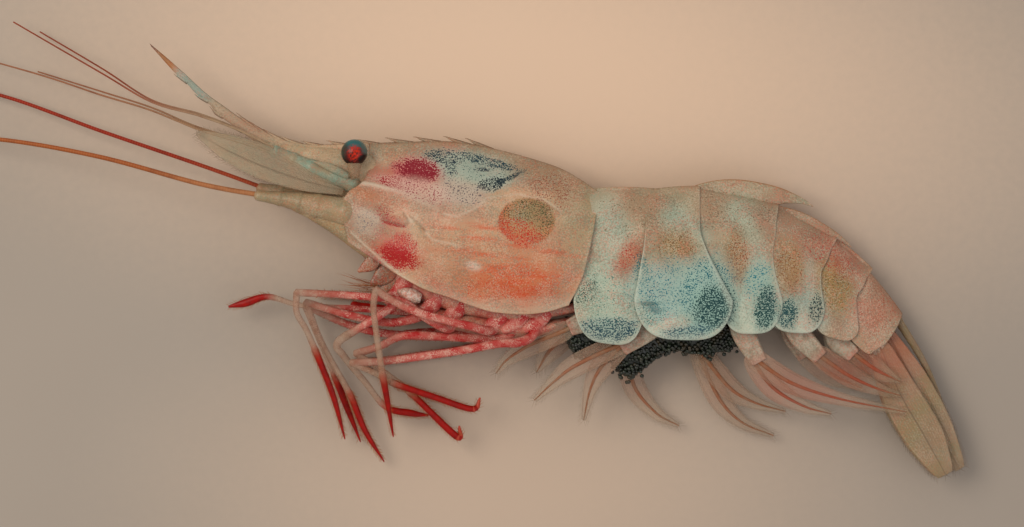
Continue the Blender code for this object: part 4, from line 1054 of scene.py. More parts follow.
@dataclass
class Carapace:
    """Shell of the head and chest with its keels and toothed crest, and the rostrum that grows from it."""

    back: Rows = ((-20.15, 12.48), (-16.64, 12.61), (-13, 12.74), (-7.8, 12.87), (-4.55, 12.61), (0, 11.7),
                  (3.9, 10.66), (7.8, 9.36), (10.4, 7.93), (11.96, 6.89), (12.61, 6.5))
    lower: Rows = ((-20.4, 0.4), (-19.8, 0), (-17.5, -1.56), (-14.95, -3.25), (-12.35, -4.8), (-9.1, -6.5),
                   (-6.5, -7.3), (-3.9, -8.3), (-0.65, -9.2), (2.6, -9.5), (5.85, -9.2), (8.45, -8.45),
                   (12.6, -7))
    depths: Point = (0, 0.08, 0.2, 0.35, 0.5, 0.65, 0.8, 0.92, 1)
    front_edge: Point = (-17.2, -17.2, -17, -17.6, -19.6, -20.4, -20.3, -19.9, -19.6)
    rear_edge: Point = (12.6, 12.55, 12.5, 12.2, 11.8, 11.3, 10.7, 9.8, 8.9)
    lengths: Point = (0, 0.15, 0.5, 0.8, 1)
    half_widths: Rows = ((0, 0.6, 0.9, 2.4, 3.4, 3.7, 3.6, 3.4, 3.2),
                         (0, 0.9, 1.9, 3.4, 4.5, 5, 4.9, 4.5, 4.2),
                         (0, 1.5, 3.3, 5, 6.2, 6.35, 6.1, 5.2, 4.8),
                         (0, 1.6, 3.4, 5, 5.95, 6.1, 5.95, 5, 4.6), (0, 1.5, 3, 4.4, 5, 5.1, 4.8, 4.4, 4.2))
    rim: float = 0.7
    groove: float = 1.9
    groove_end: float = 0.3
    groove_ramp: float = 0.1
    stations: int = 210
    columns: int = 84
    rostrum_top: Rows = ((-17, 12.62), (-20.15, 12.5), (-23.4, 12.4), (-26, 12.6), (-27.95, 13), (-30.55, 14),
                         (-33.2, 15.5), (-35.75, 17.3), (-38.35, 19.2), (-40.95, 21.6), (-43.55, 23.9),
                         (-45.6, 25.6))
    rostrum_bottom: Rows = ((-17, 10.4), (-22, 10.6), (-26, 11), (-30.2, 12), (-32.6, 13.3), (-35.2, 15.2),
                            (-36.7, 16.3), (-37.75, 17.6), (-39.5, 19), (-40.95, 20.6), (-42.25, 21.7),
                            (-45.3, 25.1))
    upper_teeth: Point = (-34.3, -32.6, -30.8, -28.6, -25.9, -22.6, -18.6)
    crest_teeth: Point = (-14.95, -11.3, -7.4, -4.55)
    lower_teeth: Point = (-42.4, -39.7, -37.75, -35.2, -32.6)
    tooth_length: float = 3.6
    tooth_height: float = 0.6

    def edge_y(self, edge: Rows, x: Array | float) -> Array:
        """Y of an outline at x, for an outline whose points run either way."""
        rows = np.array(sorted(edge))
        return ease(x, rows[:, 0], rows[:, 1])

    def side(self, length: Array, depth: Array) -> tuple[Array, Array, Array]:
        """Point of the flank from its shares of the length and depth.

        Args:
            length: 0 at the front edge and 1 at the rear edge.
            depth: 0 at the back and 1 at the lower edge.

        Returns:
            X, Y and the half width there; widths ease by the root of the depth, which rounds the back.
        """
        front, rear = ease(depth, self.depths, self.front_edge), ease(depth, self.depths, self.rear_edge)
        x = front + (rear - front) * length
        top, bottom = self.edge_y(self.back, x), self.edge_y(self.lower, x)
        knots = np.sqrt(self.depths)
        rows = np.stack([ease(np.sqrt(depth), knots, row) for row in self.half_widths])
        return x, top + (bottom - top) * depth, ease(length, self.lengths, rows)

    def groove_top(self, x: Array) -> Array:
        """Y of the ceiling of the groove under the shell, which runs out at both ends."""
        length = (x - self.front_edge[-1]) / (self.rear_edge[-1] - self.front_edge[-1])
        share = np.clip(np.minimum(length, 1 - length) / self.groove_ramp, 0, 1)
        return self.edge_y(self.lower, x) + self.groove_end + (self.groove - self.groove_end) * share

    def relief(self, x: Array, y: Array) -> tuple[Array, dict[str, Array]]:
        """Height of the keels, grooves and swellings of the flank, its light marks, which are painted
        highlights along the keels with pale lines along two grooves, and its dark marks, which are painted
        shade in the lip and cheek grooves.

        Each keel or groove is a bell of the distance to a bent line of the side view.
        """
        upper_keel = track(x, y, ((-18.4, 7.4), (-16.4, 7.1), (-14, 6.5), (-12, 5.9), (-10, 4.9), (-8, 3.8)))
        lower_keel = track(x, y, ((-19.2, 1), (-16.6, -1.4), (-14.2, -3.5), (-11.6, -5.3), (-8.9, -7)))
        lip = track(x, y, ((-15.1, 2.6), (-13.5, 2.05), (-12.3, 1.8), (-11.7, 2.4), (-12.4, 3.4)))
        cheek = track(x, y, ((-11.5, 3), (-10.5, 2.2), (-9.6, 1.1)))
        neck = track(x, y, ((-9.6, 1), (-8.6, -0.1), (-6.7, -0.4), (-5.4, -0.7)))
        heart = track(x, y, ((-7.2, 3.3), (-5.5, 3), (-2.9, 4.2), (-1.7, 5.4), (1.9, 5.9), (5.5, 5.4),
                             (7.9, 3.7)))
        fading = 1 - 0.75 * step(x, -16.5, -11.0)
        height = 0.2 * bell(upper_keel, 0, 0.4) * fading + 0.1 * bell(lower_keel, 0, 0.3)
        height += -0.16 * bell(lip, 0, 0.2) - 0.12 * bell(cheek, 0, 0.22) - 0.08 * bell(neck, 0, 0.5)
        height += -0.07 * bell(heart, 0, 0.5)
        height += 0.12 * np.exp(-(((x - 3.45) / 3.9) ** 2 + ((y - 2.4) / 3.2) ** 2) ** 2)
        height += 0.05 * np.sin(0.9 * x + 1.3 * y) * np.sin(0.7 * y - 0.4 * x)
        # Light mark: painted highlights along the upper and lower keels, pale lines along the heart and neck
        # grooves, and a pale spot by the lip.
        light = 0.8 * bell(upper_keel, 0, 0.26) * fading + 0.5 * bell(lower_keel, 0, 0.12)
        light = light + 0.4 * bell(heart, 0, 0.12) + 0.35 * bell(neck, 0, 0.14)
        light = light + 0.6 * np.exp(-(((x + 11.6) / 0.6) ** 2 + ((y - 2.5) / 0.35) ** 2))
        # Dark mark: painted shade in the lip and cheek grooves.
        dark = 0.55 * bell(lip, 0, 0.13) + 0.5 * bell(cheek, 0, 0.13)
        return height, {"light": np.clip(light, 0, 0.8), "dark": dark}

    def shell(self) -> Surface:
        """Shell as rings: down the left flank, round its lower rim to the groove, and up the right flank."""
        length = np.linspace(0, 1, self.stations)[:, None] * np.ones((1, self.columns))
        depth = np.ones((self.stations, 1)) * (np.linspace(0, 1, self.columns)[None] ** 1.35)
        x, y, half = self.side(length, depth)
        height, marks = self.relief(x, y)
        border = np.maximum(bell(1 - depth, 0, 0.03), bell(1 - length, 0, 0.012))
        height = (height + 0.1 * border) * np.clip(depth / 0.12, 0, 1)
        outer = np.stack([x, y, half], -1)
        outer += grid_normals(outer) * height[..., None] * np.sign(grid_normals(outer)[..., 2:].mean())
        inward = np.array(((0.02, -0.08), (0.12, -0.14), (0.3, -0.08), (0.55, 0.05)))
        rim_x, rim_y, rim_half = outer[:, -1:, 0], outer[:, -1:, 1], outer[:, -1:, 2]
        ceiling = self.groove_top(rim_x)
        curl = np.stack([rim_x + 0 * inward[None, :, 0], rim_y + inward[None, :, 1],
                         rim_half - inward[None, :, 0]], -1)
        share = np.linspace(0.15, 1, 6)[None]
        wall = np.stack([rim_x + 0 * share, rim_y + (ceiling - rim_y) * share,
                         rim_half - self.rim - 0.25 * share], -1)
        roof_share = np.linspace(0.8, 0.2, 4)[None]
        roof = np.stack([rim_x + 0 * roof_share, ceiling + 0 * roof_share, wall[:, -1:, 2] * roof_share], -1)
        left = np.concatenate([outer, curl, wall, roof], 1)
        rings = np.concatenate([left[:, :1] * (1, 1, 0), left[:, 1:], left[:, -1:] * (1, 1, 0),
                                left[:, :0:-1] * (1, 1, -1)], 1)
        rings[..., 2] += mid(rings[..., 0])
        pad = np.zeros((self.stations, left.shape[1] - self.columns))
        marks["rim"] = 0.25 * border * (depth > 0.5)
        marks["dark"] = np.maximum(marks["dark"], 0.75 * bell(half, 0, 0.32) * (x < 12.3))
        kept = {}
        for name, value in marks.items():
            row = np.concatenate([value, pad], 1)
            kept[name] = np.concatenate([row, row[:, -1:], row[:, :0:-1]], 1)
        return Surface.tube(rings, kept)

    def tooth(self, tip: float, edge: Rows, rise: float, length: float) -> Surface:
        """Thin tooth lying forward along an edge, its root sunk in; rise is negative on a lower edge."""
        root, bend = tip + length, tip + 0.5 * length
        level = float(mid(root))
        way = math.copysign(1, rise)
        line = ((root, -0.3 * way, 0.34, 0.3), (bend, 0.3 * rise - 0.1 * way, 0.26, 0.22),
                (tip + 0.25 * length, 0.66 * rise - 0.04 * way, 0.14, 0.13),
                (tip + 0.4, 0.92 * rise, 0.07, 0.07), (tip, rise, 0.035, 0.035))
        points = [(x, float(self.edge_y(edge, x)) + shift, level, wide, high) for x, shift, wide,
                  high in line]
        course = Course(points, 7, tips=(0.0, 1.0))
        made = course.tube(round_section(14), thin=0.5 + 0.3 * course.share)
        made.marks["dark"] = 0.8 * step(-way * made.marks["across"], 0.3, 0.9)
        return made

    def rostrum(self) -> Surface:
        """Upturned blade between its two edges, thickest along a rib on each side."""
        share, turn, depth, flat = between_edges((self.rostrum_top, self.rostrum_bottom), 110, 36)
        lens = 0.85 * np.abs(np.sin(turn)) ** 0.75
        lens = lens + 0.14 * bell(depth, 0.52, 0.1) + 0.08 * bell(depth, 0.2, 0.05)
        half = 0.85 - 0.35 * np.minimum(share * 2, 1) - 0.3 * np.maximum(share * 2 - 1, 0)
        half = half * np.clip((1.02 - share) / 0.06, 0.15, 1)
        z = mid(flat[:, :1, 0]) + np.sign(np.sin(turn)) * lens * half[:, None] * 0.9
        edge = np.maximum(bell(depth, 0, 0.035), 0.3 * bell(depth, 1, 0.035))[None] * np.ones((len(share), 1))
        tip = step(share, 0.86, 1.0)[:, None] * np.ones((1, len(turn)))
        # The light mark is a painted highlight along the rib on each side of the blade.
        marks = {"dark": np.clip(0.8 * edge * step(share, 0.02, 0.1)[:, None] + 0.4 * tip, 0, 0.85),
                 "thin": np.ones_like(edge) * (0.7 * step(share, 0.1, 0.3))[:, None],
                 "light": 0.15 * bell(depth, 0.52, 0.07)[None] * np.ones_like(edge)}
        return Surface.tube(np.concatenate([flat, z[..., None]], -1), marks)

    def build(self, bench: Bench) -> None:
        """Make the shell and the rostrum one piece."""
        parts = [self.shell(), self.rostrum()]
        tall, long = self.tooth_height, self.tooth_length
        parts += [self.tooth(x, self.back, tall, long) for x in self.crest_teeth]
        parts += [self.tooth(x, self.rostrum_top, (0.5 + 0.3 * (x > -24)) * tall,
                             0.8 * long) for x in self.upper_teeth]
        parts += [self.tooth(x, self.rostrum_bottom, -0.4 * tall, 0.5 * long) for x in self.lower_teeth]
        bench.add("carapace_and_rostrum", parts, (CARAPACE_FINISH,), "carapace_shell",
                  ("carapace", "rostrum"))


@dataclass
class Eyes:
    """Round eyes, flat below, on stalks that a bar joins."""

    centre: Point = (-18.85, 11.3)
    radius: float = 1.7
    apart: float = 2.9
    flat: float = 9.9

    def ball(self, side: Side) -> Surface:
        """Ball as rings about Y, from its flat underside to its top."""
        x, y = self.centre
        lowest = math.acos((self.flat - y) / self.radius)
        polar = np.linspace(lowest, 0.02, 40)[:, None]
        turn = around(64)[None]
        size = self.radius * np.sin(polar)
        z = float(mid(x)) + side * self.apart
        rings = np.stack([x + size * np.cos(turn), y + self.radius * np.cos(polar) + 0 * turn,
                          z + size * np.sin(turn)], -1)
        return Surface.tube(rings)

    def stalks(self) -> list[Surface]:
        """Stalks that widen to a cup under each eye, and the bar."""
        x, level = self.centre[0], float(mid(self.centre[0]))
        turn, reach = around(16)[None], np.linspace(-2.6, 2.6, 5)[:, None]
        bar = np.stack([x + 0.5 * np.cos(turn) + 0 * reach, 8.8 + 0.5 * np.sin(turn) + 0 * reach,
                        level + reach + 0 * turn], -1)
        turn = around(28)[None]
        parts = [Surface.tube(bar)]
        for side in Side:
            heights = np.array((7.9, 8.4, 8.9, 9.4, 9.8, 10.2, 10.5))[:, None]
            sizes = np.array((0.5, 0.7, 0.8, 0.88, 0.95, 1, 0.9))[:, None]
            foot = level + side * (2.5 + 0.4 * step(heights, 8.4, 10))
            rings = np.stack([x + sizes * np.cos(turn), heights + 0 * turn, foot + sizes * np.sin(turn)], -1)
            parts.append(Surface.tube(rings))
        return parts

    @staticmethod
    def flesh() -> Surface:
        """Soft front of the head, from inside the shell to between the feelers."""
        level = float(mid(-18))
        points = ((-14.2, 7.0, level, 2.4, 1.0), (-16.6, 7.6, level, 3.4, 1.3), (-19.6, 8.6, level, 3.5, 1.5),
                  (-22.8, 9.8, level, 2.5, 1.4), (-25.6, 10.8, level, 1.6, 1.2),
                  (-28.2, 11.6, level, 0.95, 0.9), (-31.4, 12.7, level, 0.3, 0.3))
        return Course(points, 10).tube(round_section(36), 1)

    def build(self, bench: Bench) -> None:
        """Make the two eyes and their stalks."""
        finish = EyeFinish("eye_surface", self.centre)
        for side in Side:
            bench.add(f"eyeball_{side.word}", [self.ball(side)], (finish,), "eye", (f"eye_{side.word}",))
        bench.add("eye_stalks", [*self.stalks(), self.flesh()], (STALK_FINISH, HEAD_FLESH), "stalk",
                  ("eyestalks",))


def podomere(rows: Array, low: float, high: float, count: int, flare: float, sides: int = 16, layer: int = 0,
             marks: dict[str, tuple[Point, Point]] | None = None) -> Surface:
    """One joint of a limb: a tube between two shares of a route, waisted and flared towards its far end.

    Args:
        rows: The route, x, y, z, half width and half height.
        low: Share where it starts.
        high: Share where it ends.
        count: Stations.
        flare: How much the far end widens, as a share of the radius.
        sides: Columns.
        layer: Index of the finish.
        marks: Name of a mark, and its knots and values along the whole route.

    Returns:
        The surface.
    """
    part = at_shares(rows, np.linspace(low, high, count))
    t = np.linspace(0, 1, count)
    part[:, 3:5] *= (0.94 + 0.08 * bell(t, 0.04, 0.12) + flare * bell(t, 0.97, 0.09))[:, None]
    course = Course(part, 0, tips=(0.8, 0.8))
    place = low + (high - low) * np.concatenate([np.zeros(4), t, np.ones(4)])
    return course.tube(round_section(sides), layer,
                       **{name: np.interp(place, *knots) for name, knots in (marks or {}).items()})


@dataclass
class Feelers:
    """Antennules and antennae: jointed stalks, scales and ringed whips."""

    level: float = HEAD_LEVEL
    whips: dict[str, Rows] = field(default_factory=lambda: {
        "antennule_whip_left_outer": ((-28.75, 11.6, 7.85), (-33.8, 14.2, 7.9), (-39, 16.1, 7.6),
                                      (-45.2, 17.9, 6.9), (-52, 21.8, 5.4), (-63.6, 28.5, 2.6)),
        "antennule_whip_left_inner": ((-28.85, 10.95, 7.15), (-32.5, 12.2, 7.3), (-39, 14.3, 6.9),
                                      (-45.5, 16.9, 6), (-52, 18.9, 4.9), (-58.5, 21.1, 3.5), (-65, 23, 2.2),
                                      (-70.2, 24.4, 1.2)),
        "antennule_whip_right_outer": ((-28.75, 11.6, 3.95), (-33.8, 14.3, 3.9), (-39, 16.4, 3.8),
                                       (-45.5, 18.3, 3.4), (-52, 22.4, 2.4), (-60.3, 27.3, 1.2)),
        "antennule_whip_right_inner": ((-28.85, 10.95, 4.65), (-32.5, 12.6, 4.5), (-39.6, 14.8, 4),
                                       (-45.5, 17.3, 3.2), (-52, 19.4, 2.1), (-60.6, 22.1, 0.9)),
    })
    long_whips: dict[Side, Rows] = field(default_factory=lambda: {
        Side.LEFT: ((-30.95, 5.8, 8.2), (-39, 7.3, 7.8), (-52, 10.8, 6.1), (-65, 13.1, 3.8), (-75, 13.4, 2),
                    (-83.5, 9.8, 0.8), (-87, 1.5, 0.5), (-86, -9, 0.5), (-82.5, -20, 0.5), (-77.5, -31, 0.5)),
        Side.RIGHT: ((-30.95, 6.85, 3.7), (-39, 9.75, 3.5), (-52, 14.2, 2.7), (-65, 18.85, 1.7),
                     (-75, 20.6, 0.9),
                     (-85, 17.5, 0.5), (-91.5, 9.5, 0.5), (-93.5, -2, 0.5), (-91.5, -14, 0.5),
                     (-87.5, -25, 0.5)),
    })
    stalk_ends: dict[Side, float] = field(default_factory=lambda: {Side.LEFT: 5.7, Side.RIGHT: 6.7})

    def whip(self, bench: Bench, name: str, points: Rows, thick: Point, finish: WhipFinish) -> None:
        """Tapering whip through the points, which starts inside its stalk."""
        places = np.array(points, float)
        places = np.vstack([places[0] + unit(places[0] - places[1]) * 0.9, places])
        radii = np.interp(np.arange(len(places)), (0, 3, len(places) - 1), thick)
        course = Course(np.hstack([places, radii[:, None], radii[:, None]]), 26, tips=(0.0, 1.0))
        bench.add(name.replace("whip", "flagellum"), [course.tube(round_section(9))], (finish,), "feeler",
                  (name,))

    def antennule(self, bench: Bench, side: Side) -> None:
        """Stalk of three joints, with a pointed scale on its outer side."""
        points = beside(side, self.level, (-19, 7.1, 1.3, 1.1, 1.1), (-22.2, 8.5, 1.4, 1.1, 1.1),
                        (-24.9, 9.6, 1.5, 1, 1), (-29.1, 11.45, 1.55, 0.8, 0.8))
        rows = smooth(points, 12)
        parts = [podomere(rows, low, high, 20, 0.14, 22) for low,
                 high in ((0, 0.56), (0.53, 0.78), (0.75, 1))]
        spur = beside(side, self.level, (-19.6, 8.2, 2, 0.5, 0.5), (-21.8, 9.3, 2.5, 0.55, 0.3),
                      (-24.2, 10.2, 2.6, 0.08, 0.08))
        parts.append(Course(spur, 8).tube(round_section(12)))
        bench.add(f"antennule_stalk_{side.word}", parts, (MINT_FINISH,), "feeler",
                  (f"antennule_{side.word}",))

    def antenna(self, bench: Bench, side: Side) -> None:
        """Thick stalk of the long whip, in four joints."""
        end = self.stalk_ends[side]
        stops = ((-19.8, 0, 1.95), (-20.75, 0, 1.95), (-24.5, 0.42, 1.6), (-27.8, 0.78, 1.1),
                 (-31.3, 1.02, 0.7))
        points = [(x, 3.7 + (end - 3.7) * share, self.level + side * 2.35, size, size)
                  for x, share, size in stops]
        rows = smooth(points, 10)
        cuts = ((0, 0.36), (0.33, 0.56), (0.53, 0.78), (0.75, 1))
        parts = [podomere(rows, low, high, 20, 0.06, 24) for low, high in cuts]
        root = beside(side, self.level, (-26.6, 4.7, 2.2, 1, 0.9), (-24.6, 4.3, 2.1, 1.5, 1.2),
                      (-22.4, 3.3, 1.9, 1.75, 1.4), (-20, 1.7, 1.7, 1.75, 1.5), (-17.6, -0.5, 1.7, 1.45, 1.4),
                      (-15.4, -2.6, 1.7, 0.9, 1))
        parts.append(Course(root, 10).tube(round_section(28), 1))
        bench.add(f"antenna_stalk_{side.word}", parts, (TAN_BASE_FINISH, BASE_FLESH), "feeler",
                  (f"antenna_{side.word}",))

    def scale(self, bench: Bench, side: Side) -> Surface:
        """Broad scale beside the stalk, and the hairs of its inner margin."""
        points = beside(side, self.level, (-20.3, 6.5, 1.6, 0.8, 0.3), (-21.6, 6.9, 2, 1.1, 0.25),
                        (-25.5, 8.1, 2.8, 1.9, 0.22), (-30.5, 10, 3.2, 2.4, 0.2),
                        (-34.8, 11.8, 3.3, 1.95, 0.17),
                        (-38, 13.3, 3.3, 0.9, 0.14), (-39.1, 13.8, 3.3, 0.35, 0.12))
        course = Course(points, 12, roll=side * math.radians(24))
        blade = course.tube(blade_section(48), dark=0.3 * step(course.share, 0.9, 1))
        bench.add(f"antenna_scale_{side.word}", [blade], (SCALE_FINISH,), "feeler",
                  (f"antennal_scale_{side.word}",))
        return Fringe(0.95, 0.03, 5).grow(course, 0.25, 1, 0 if side is Side.LEFT else 1, 2)

    def build(self, bench: Bench) -> None:
        """Make the stalks, scales and whips."""
        hair = []
        for side in Side:
            self.antennule(bench, side)
            self.antenna(bench, side)
            hair.append(self.scale(bench, side))
            long_finish = ORANGE_WHIP if side is Side.LEFT else RED_WHIP
            thick = (0.38, 0.3, 0.18) if side is Side.LEFT else (0.3, 0.25, 0.16)
            self.whip(bench, f"antenna_whip_{side.word}", self.long_whips[side], thick, long_finish)
        for name, points in self.whips.items():
            outer = "outer" in name
            self.whip(bench, name, points, (0.18 if outer else 0.15, 0.14, 0.1),
                      OUTER_WHIP if outer else INNER_WHIP)
        bench.add("scale_hairs", hair, (HAIR_FINISH,), "feeler", coat=True)


@dataclass
class Fringe:
    """Rows of fine hairs along both margins of a blade or limb."""

    length: float
    thick: float
    density: float
    lean: float = 1.0
    scatter: float = 0.08

    def grow(self, course: Course, low: float, high: float, index: int, total: int,
             height: float = 0.0, inset: float = 0.9) -> Surface:
        """Hairs along a stretch of a course.

        Args:
            course: What they grow from.
            low: Share of its length where they start.
            high: Share where they end.
            index: Place of this course among those that share one unwrap.
            total: How many share it.
            height: Where they leave, up or down the section.
            inset: Where they leave across the section.

        Returns:
            The hairs.
        """
        source = np.random.default_rng(SEED + index)
        count = max(int((high - low) * course.run[-1] * self.density), 4)
        shares = np.linspace(low, high, count) * course.run[-1]
        pick = [np.stack([np.interp(shares, course.run, column) for column in block.T], -1)
                for block in (course.rows, course.ahead, course.across, course.height)]
        rows, ahead, across, up = pick
        parts = []
        for side in (-1.0, 1.0):
            roots = rows[:, :3] + across * (side * rows[:, 3:4] * inset) + up * (height * rows[:, 4:5])
            aims = across * side + ahead * self.lean + up * height + random_about(source, count, self.scatter)
            lengths = self.length * (0.75 + 0.4 * source.random(count))
            uv = np.stack([(index + np.linspace(0.02, 0.98, count)) / total,
                           np.full(count, 0.5 + 0.3 * side)], -1)
            parts.append(bristles(roots, aims, lengths, self.thick, uv))
        return Surface.join(parts)


# Place of each pair of legs along the body
LEG_PLACES = {"maxilliped3": -13, "leg1": -9, "leg2": -6, "leg3": -0.5, "leg4": 2.2, "leg5": 5}


@dataclass
class Underside:
    """Plates between the leg bases, with the small mouthparts in front."""

    carapace: Carapace
    rows: Rows = ((-18.8, -1.2, 1.3), (-16, -4.6, 1.9), (-13, -6.6, 2.5), (-10.4, -8.2, 2.9),
                  (-5.2, -9.9, 3.1), (0, -10.8, 3.2), (5.2, -10.6, 3.1), (10, -9.7, 2.9))
    gap: float = 0.65
    leg_apart: float = 1.9

    def bottom(self, x: Array | float, apart: float) -> Array:
        """Y of the underside at that distance from the middle plane."""
        data = np.array(self.rows)
        low, half = (np.interp(x, data[:, 0], data[:, column]) for column in (1, 2))
        centre = (self.carapace.groove_top(np.asarray(x, float)) - self.gap + low) / 2
        return centre - (centre - low) * np.maximum(1 - (abs(apart) / half) ** 4, 0) ** 0.25

    def plates(self) -> Surface:
        """Rounded square tube whose underside rises between the leg bases."""
        data = np.array(self.rows)
        x = np.linspace(data[0, 0], data[-1, 0], 120)[:, None]
        half = np.interp(x, data[:, 0], data[:, 2])
        turn = around(48)[None]
        a, b = np.cos(turn), np.sin(turn)
        square = (a ** 4 + b ** 4) ** 0.25
        top, low = self.carapace.groove_top(x) - self.gap + 0.5, self.bottom(x, 0)
        ridges = sum(bell(x, place, 0.75) for place in LEG_PLACES.values())
        notch = 0.25 * (1 - np.clip(ridges, 0, 1)) * (b < 0)
        y = (top + low) / 2 + (top - low) / 2 * b / square + notch
        return Surface.tube(np.stack([x + 0 * a, y, mid(x) + (half - notch) * a / square], -1))

    def mouthparts(self) -> list[Surface]:
        """Flat leaf-like mouthparts in pairs, with a soft pale lobe, ahead of the outer mouth legs."""
        parts = []
        leaves = (((-12.2, -4.6), (-13.8, -5.8), (-15.6, -6.8), 1.5),
                  ((-13.8, -3.4), (-15.2, -4.7), (-16.6, -5.7), 1.2),
                  ((-15.6, -2), (-16.9, -3.2), (-18.2, -4), 0.9))
        for side in Side:
            for index, (root, middle, tip, size) in enumerate(leaves):
                z = float(mid(-15)) + side * (1.9 + 0.4 * index)
                points = ((*root, z, size, 0.6), (*middle, z, size, 0.5), (*tip, z, 0.3 * size, 0.25))
                parts.append(Course(points, 9).tube(blade_section(32, ()), 1))
            z = float(mid(-11)) + side * 2.9
            lobe = ((-10.2, -7.6, z, 0.6, 0.6), (-11.2, -7.3, z, 0.95, 0.85), (-12.3, -6.9, z, 0.8, 0.8),
                    (-12.9, -6.7, z, 0.4, 0.4))
            parts.append(Course(lobe, 8).tube(round_section(24), 2))
        return parts

    def flanks(self) -> Surface:
        """Band of soft speckled flesh under the plates, from which the legs grow."""
        rows = ((-14.2, -6.9, 0.7, 1.6), (-11, -8.7, 1.1, 2.2), (-6, -10.4, 1.25, 2.5),
                (-0.5, -11.3, 1.3, 2.6), (4.2, -11.6, 1.1, 2.5), (8.2, -10.8, 0.7, 2), (10.4, -10, 0.3, 1.2))
        points = [(x, y, HEAD_LEVEL, wide, high) for x, y, wide, high in rows]
        return Course(points, 12).tube(round_section(36), 0)

    def whiskers(self) -> Surface:
        """Long fine hairs that point forward from the mouthparts."""
        source = np.random.default_rng(SEED + 90)
        parts = []
        for side in Side:
            count = 12
            roots = np.stack([source.uniform(-17.2, -15.2, count), source.uniform(-6.8, -5.6, count),
                              float(mid(-16)) + side * source.uniform(1.8, 2.8, count)], -1)
            aims = np.stack([-np.ones(count), source.uniform(-0.05, 0.5, count),
                             source.normal(0, 0.1, count)], -1)
            place = np.stack([np.linspace(0.05, 0.95, count), np.full(count, 0.3 + 0.2 * side)], -1)
            parts.append(bristles(roots, aims, source.uniform(2.2, 5.2, count), 0.045, place, 0.05))
        return Surface.join(parts)

    def build(self, bench: Bench) -> None:
        """Make the plates with the mouthparts."""
        bench.add("underside_plates", [self.plates(), self.flanks(), *self.mouthparts()],
                  (STERNUM_FINISH, MOUTH_FINISH, LOBE_FINISH), "leg", ("sternum",))
        bench.add("mouth_whiskers", [self.whiskers()], (BRISTLE_FINISH,), "leg", coat=True)


@dataclass(frozen=True)
class Limb:
    """Route and colours of one leg: where it turns pale and red, as shares of its lower part or the whole."""

    name: str
    upper: Rows
    lower: Rows = ()
    radii: Point = ()
    pale: Point = (0.7, 1)
    red: float = 0.42
    cuts: Point = (0, 0.14, 1)
    bristly: float = 1.0
    hooked: bool = False

    @property
    def x(self) -> float:
        """Place of the leg along the body, as its name says."""
        return LEG_PLACES[self.name.split("_")[0]]

    @property
    def side(self) -> Side:
        """Side of the leg, as its name says."""
        return Side.LEFT if "left" in self.name else Side.RIGHT

    @property
    def nodes(self) -> tuple[str, ...]:
        """Nodes that the leg stands for: an upper and a lower one, or one."""
        return (f"{self.name}_upper", f"{self.name}_lower") if self.lower else (self.name,)


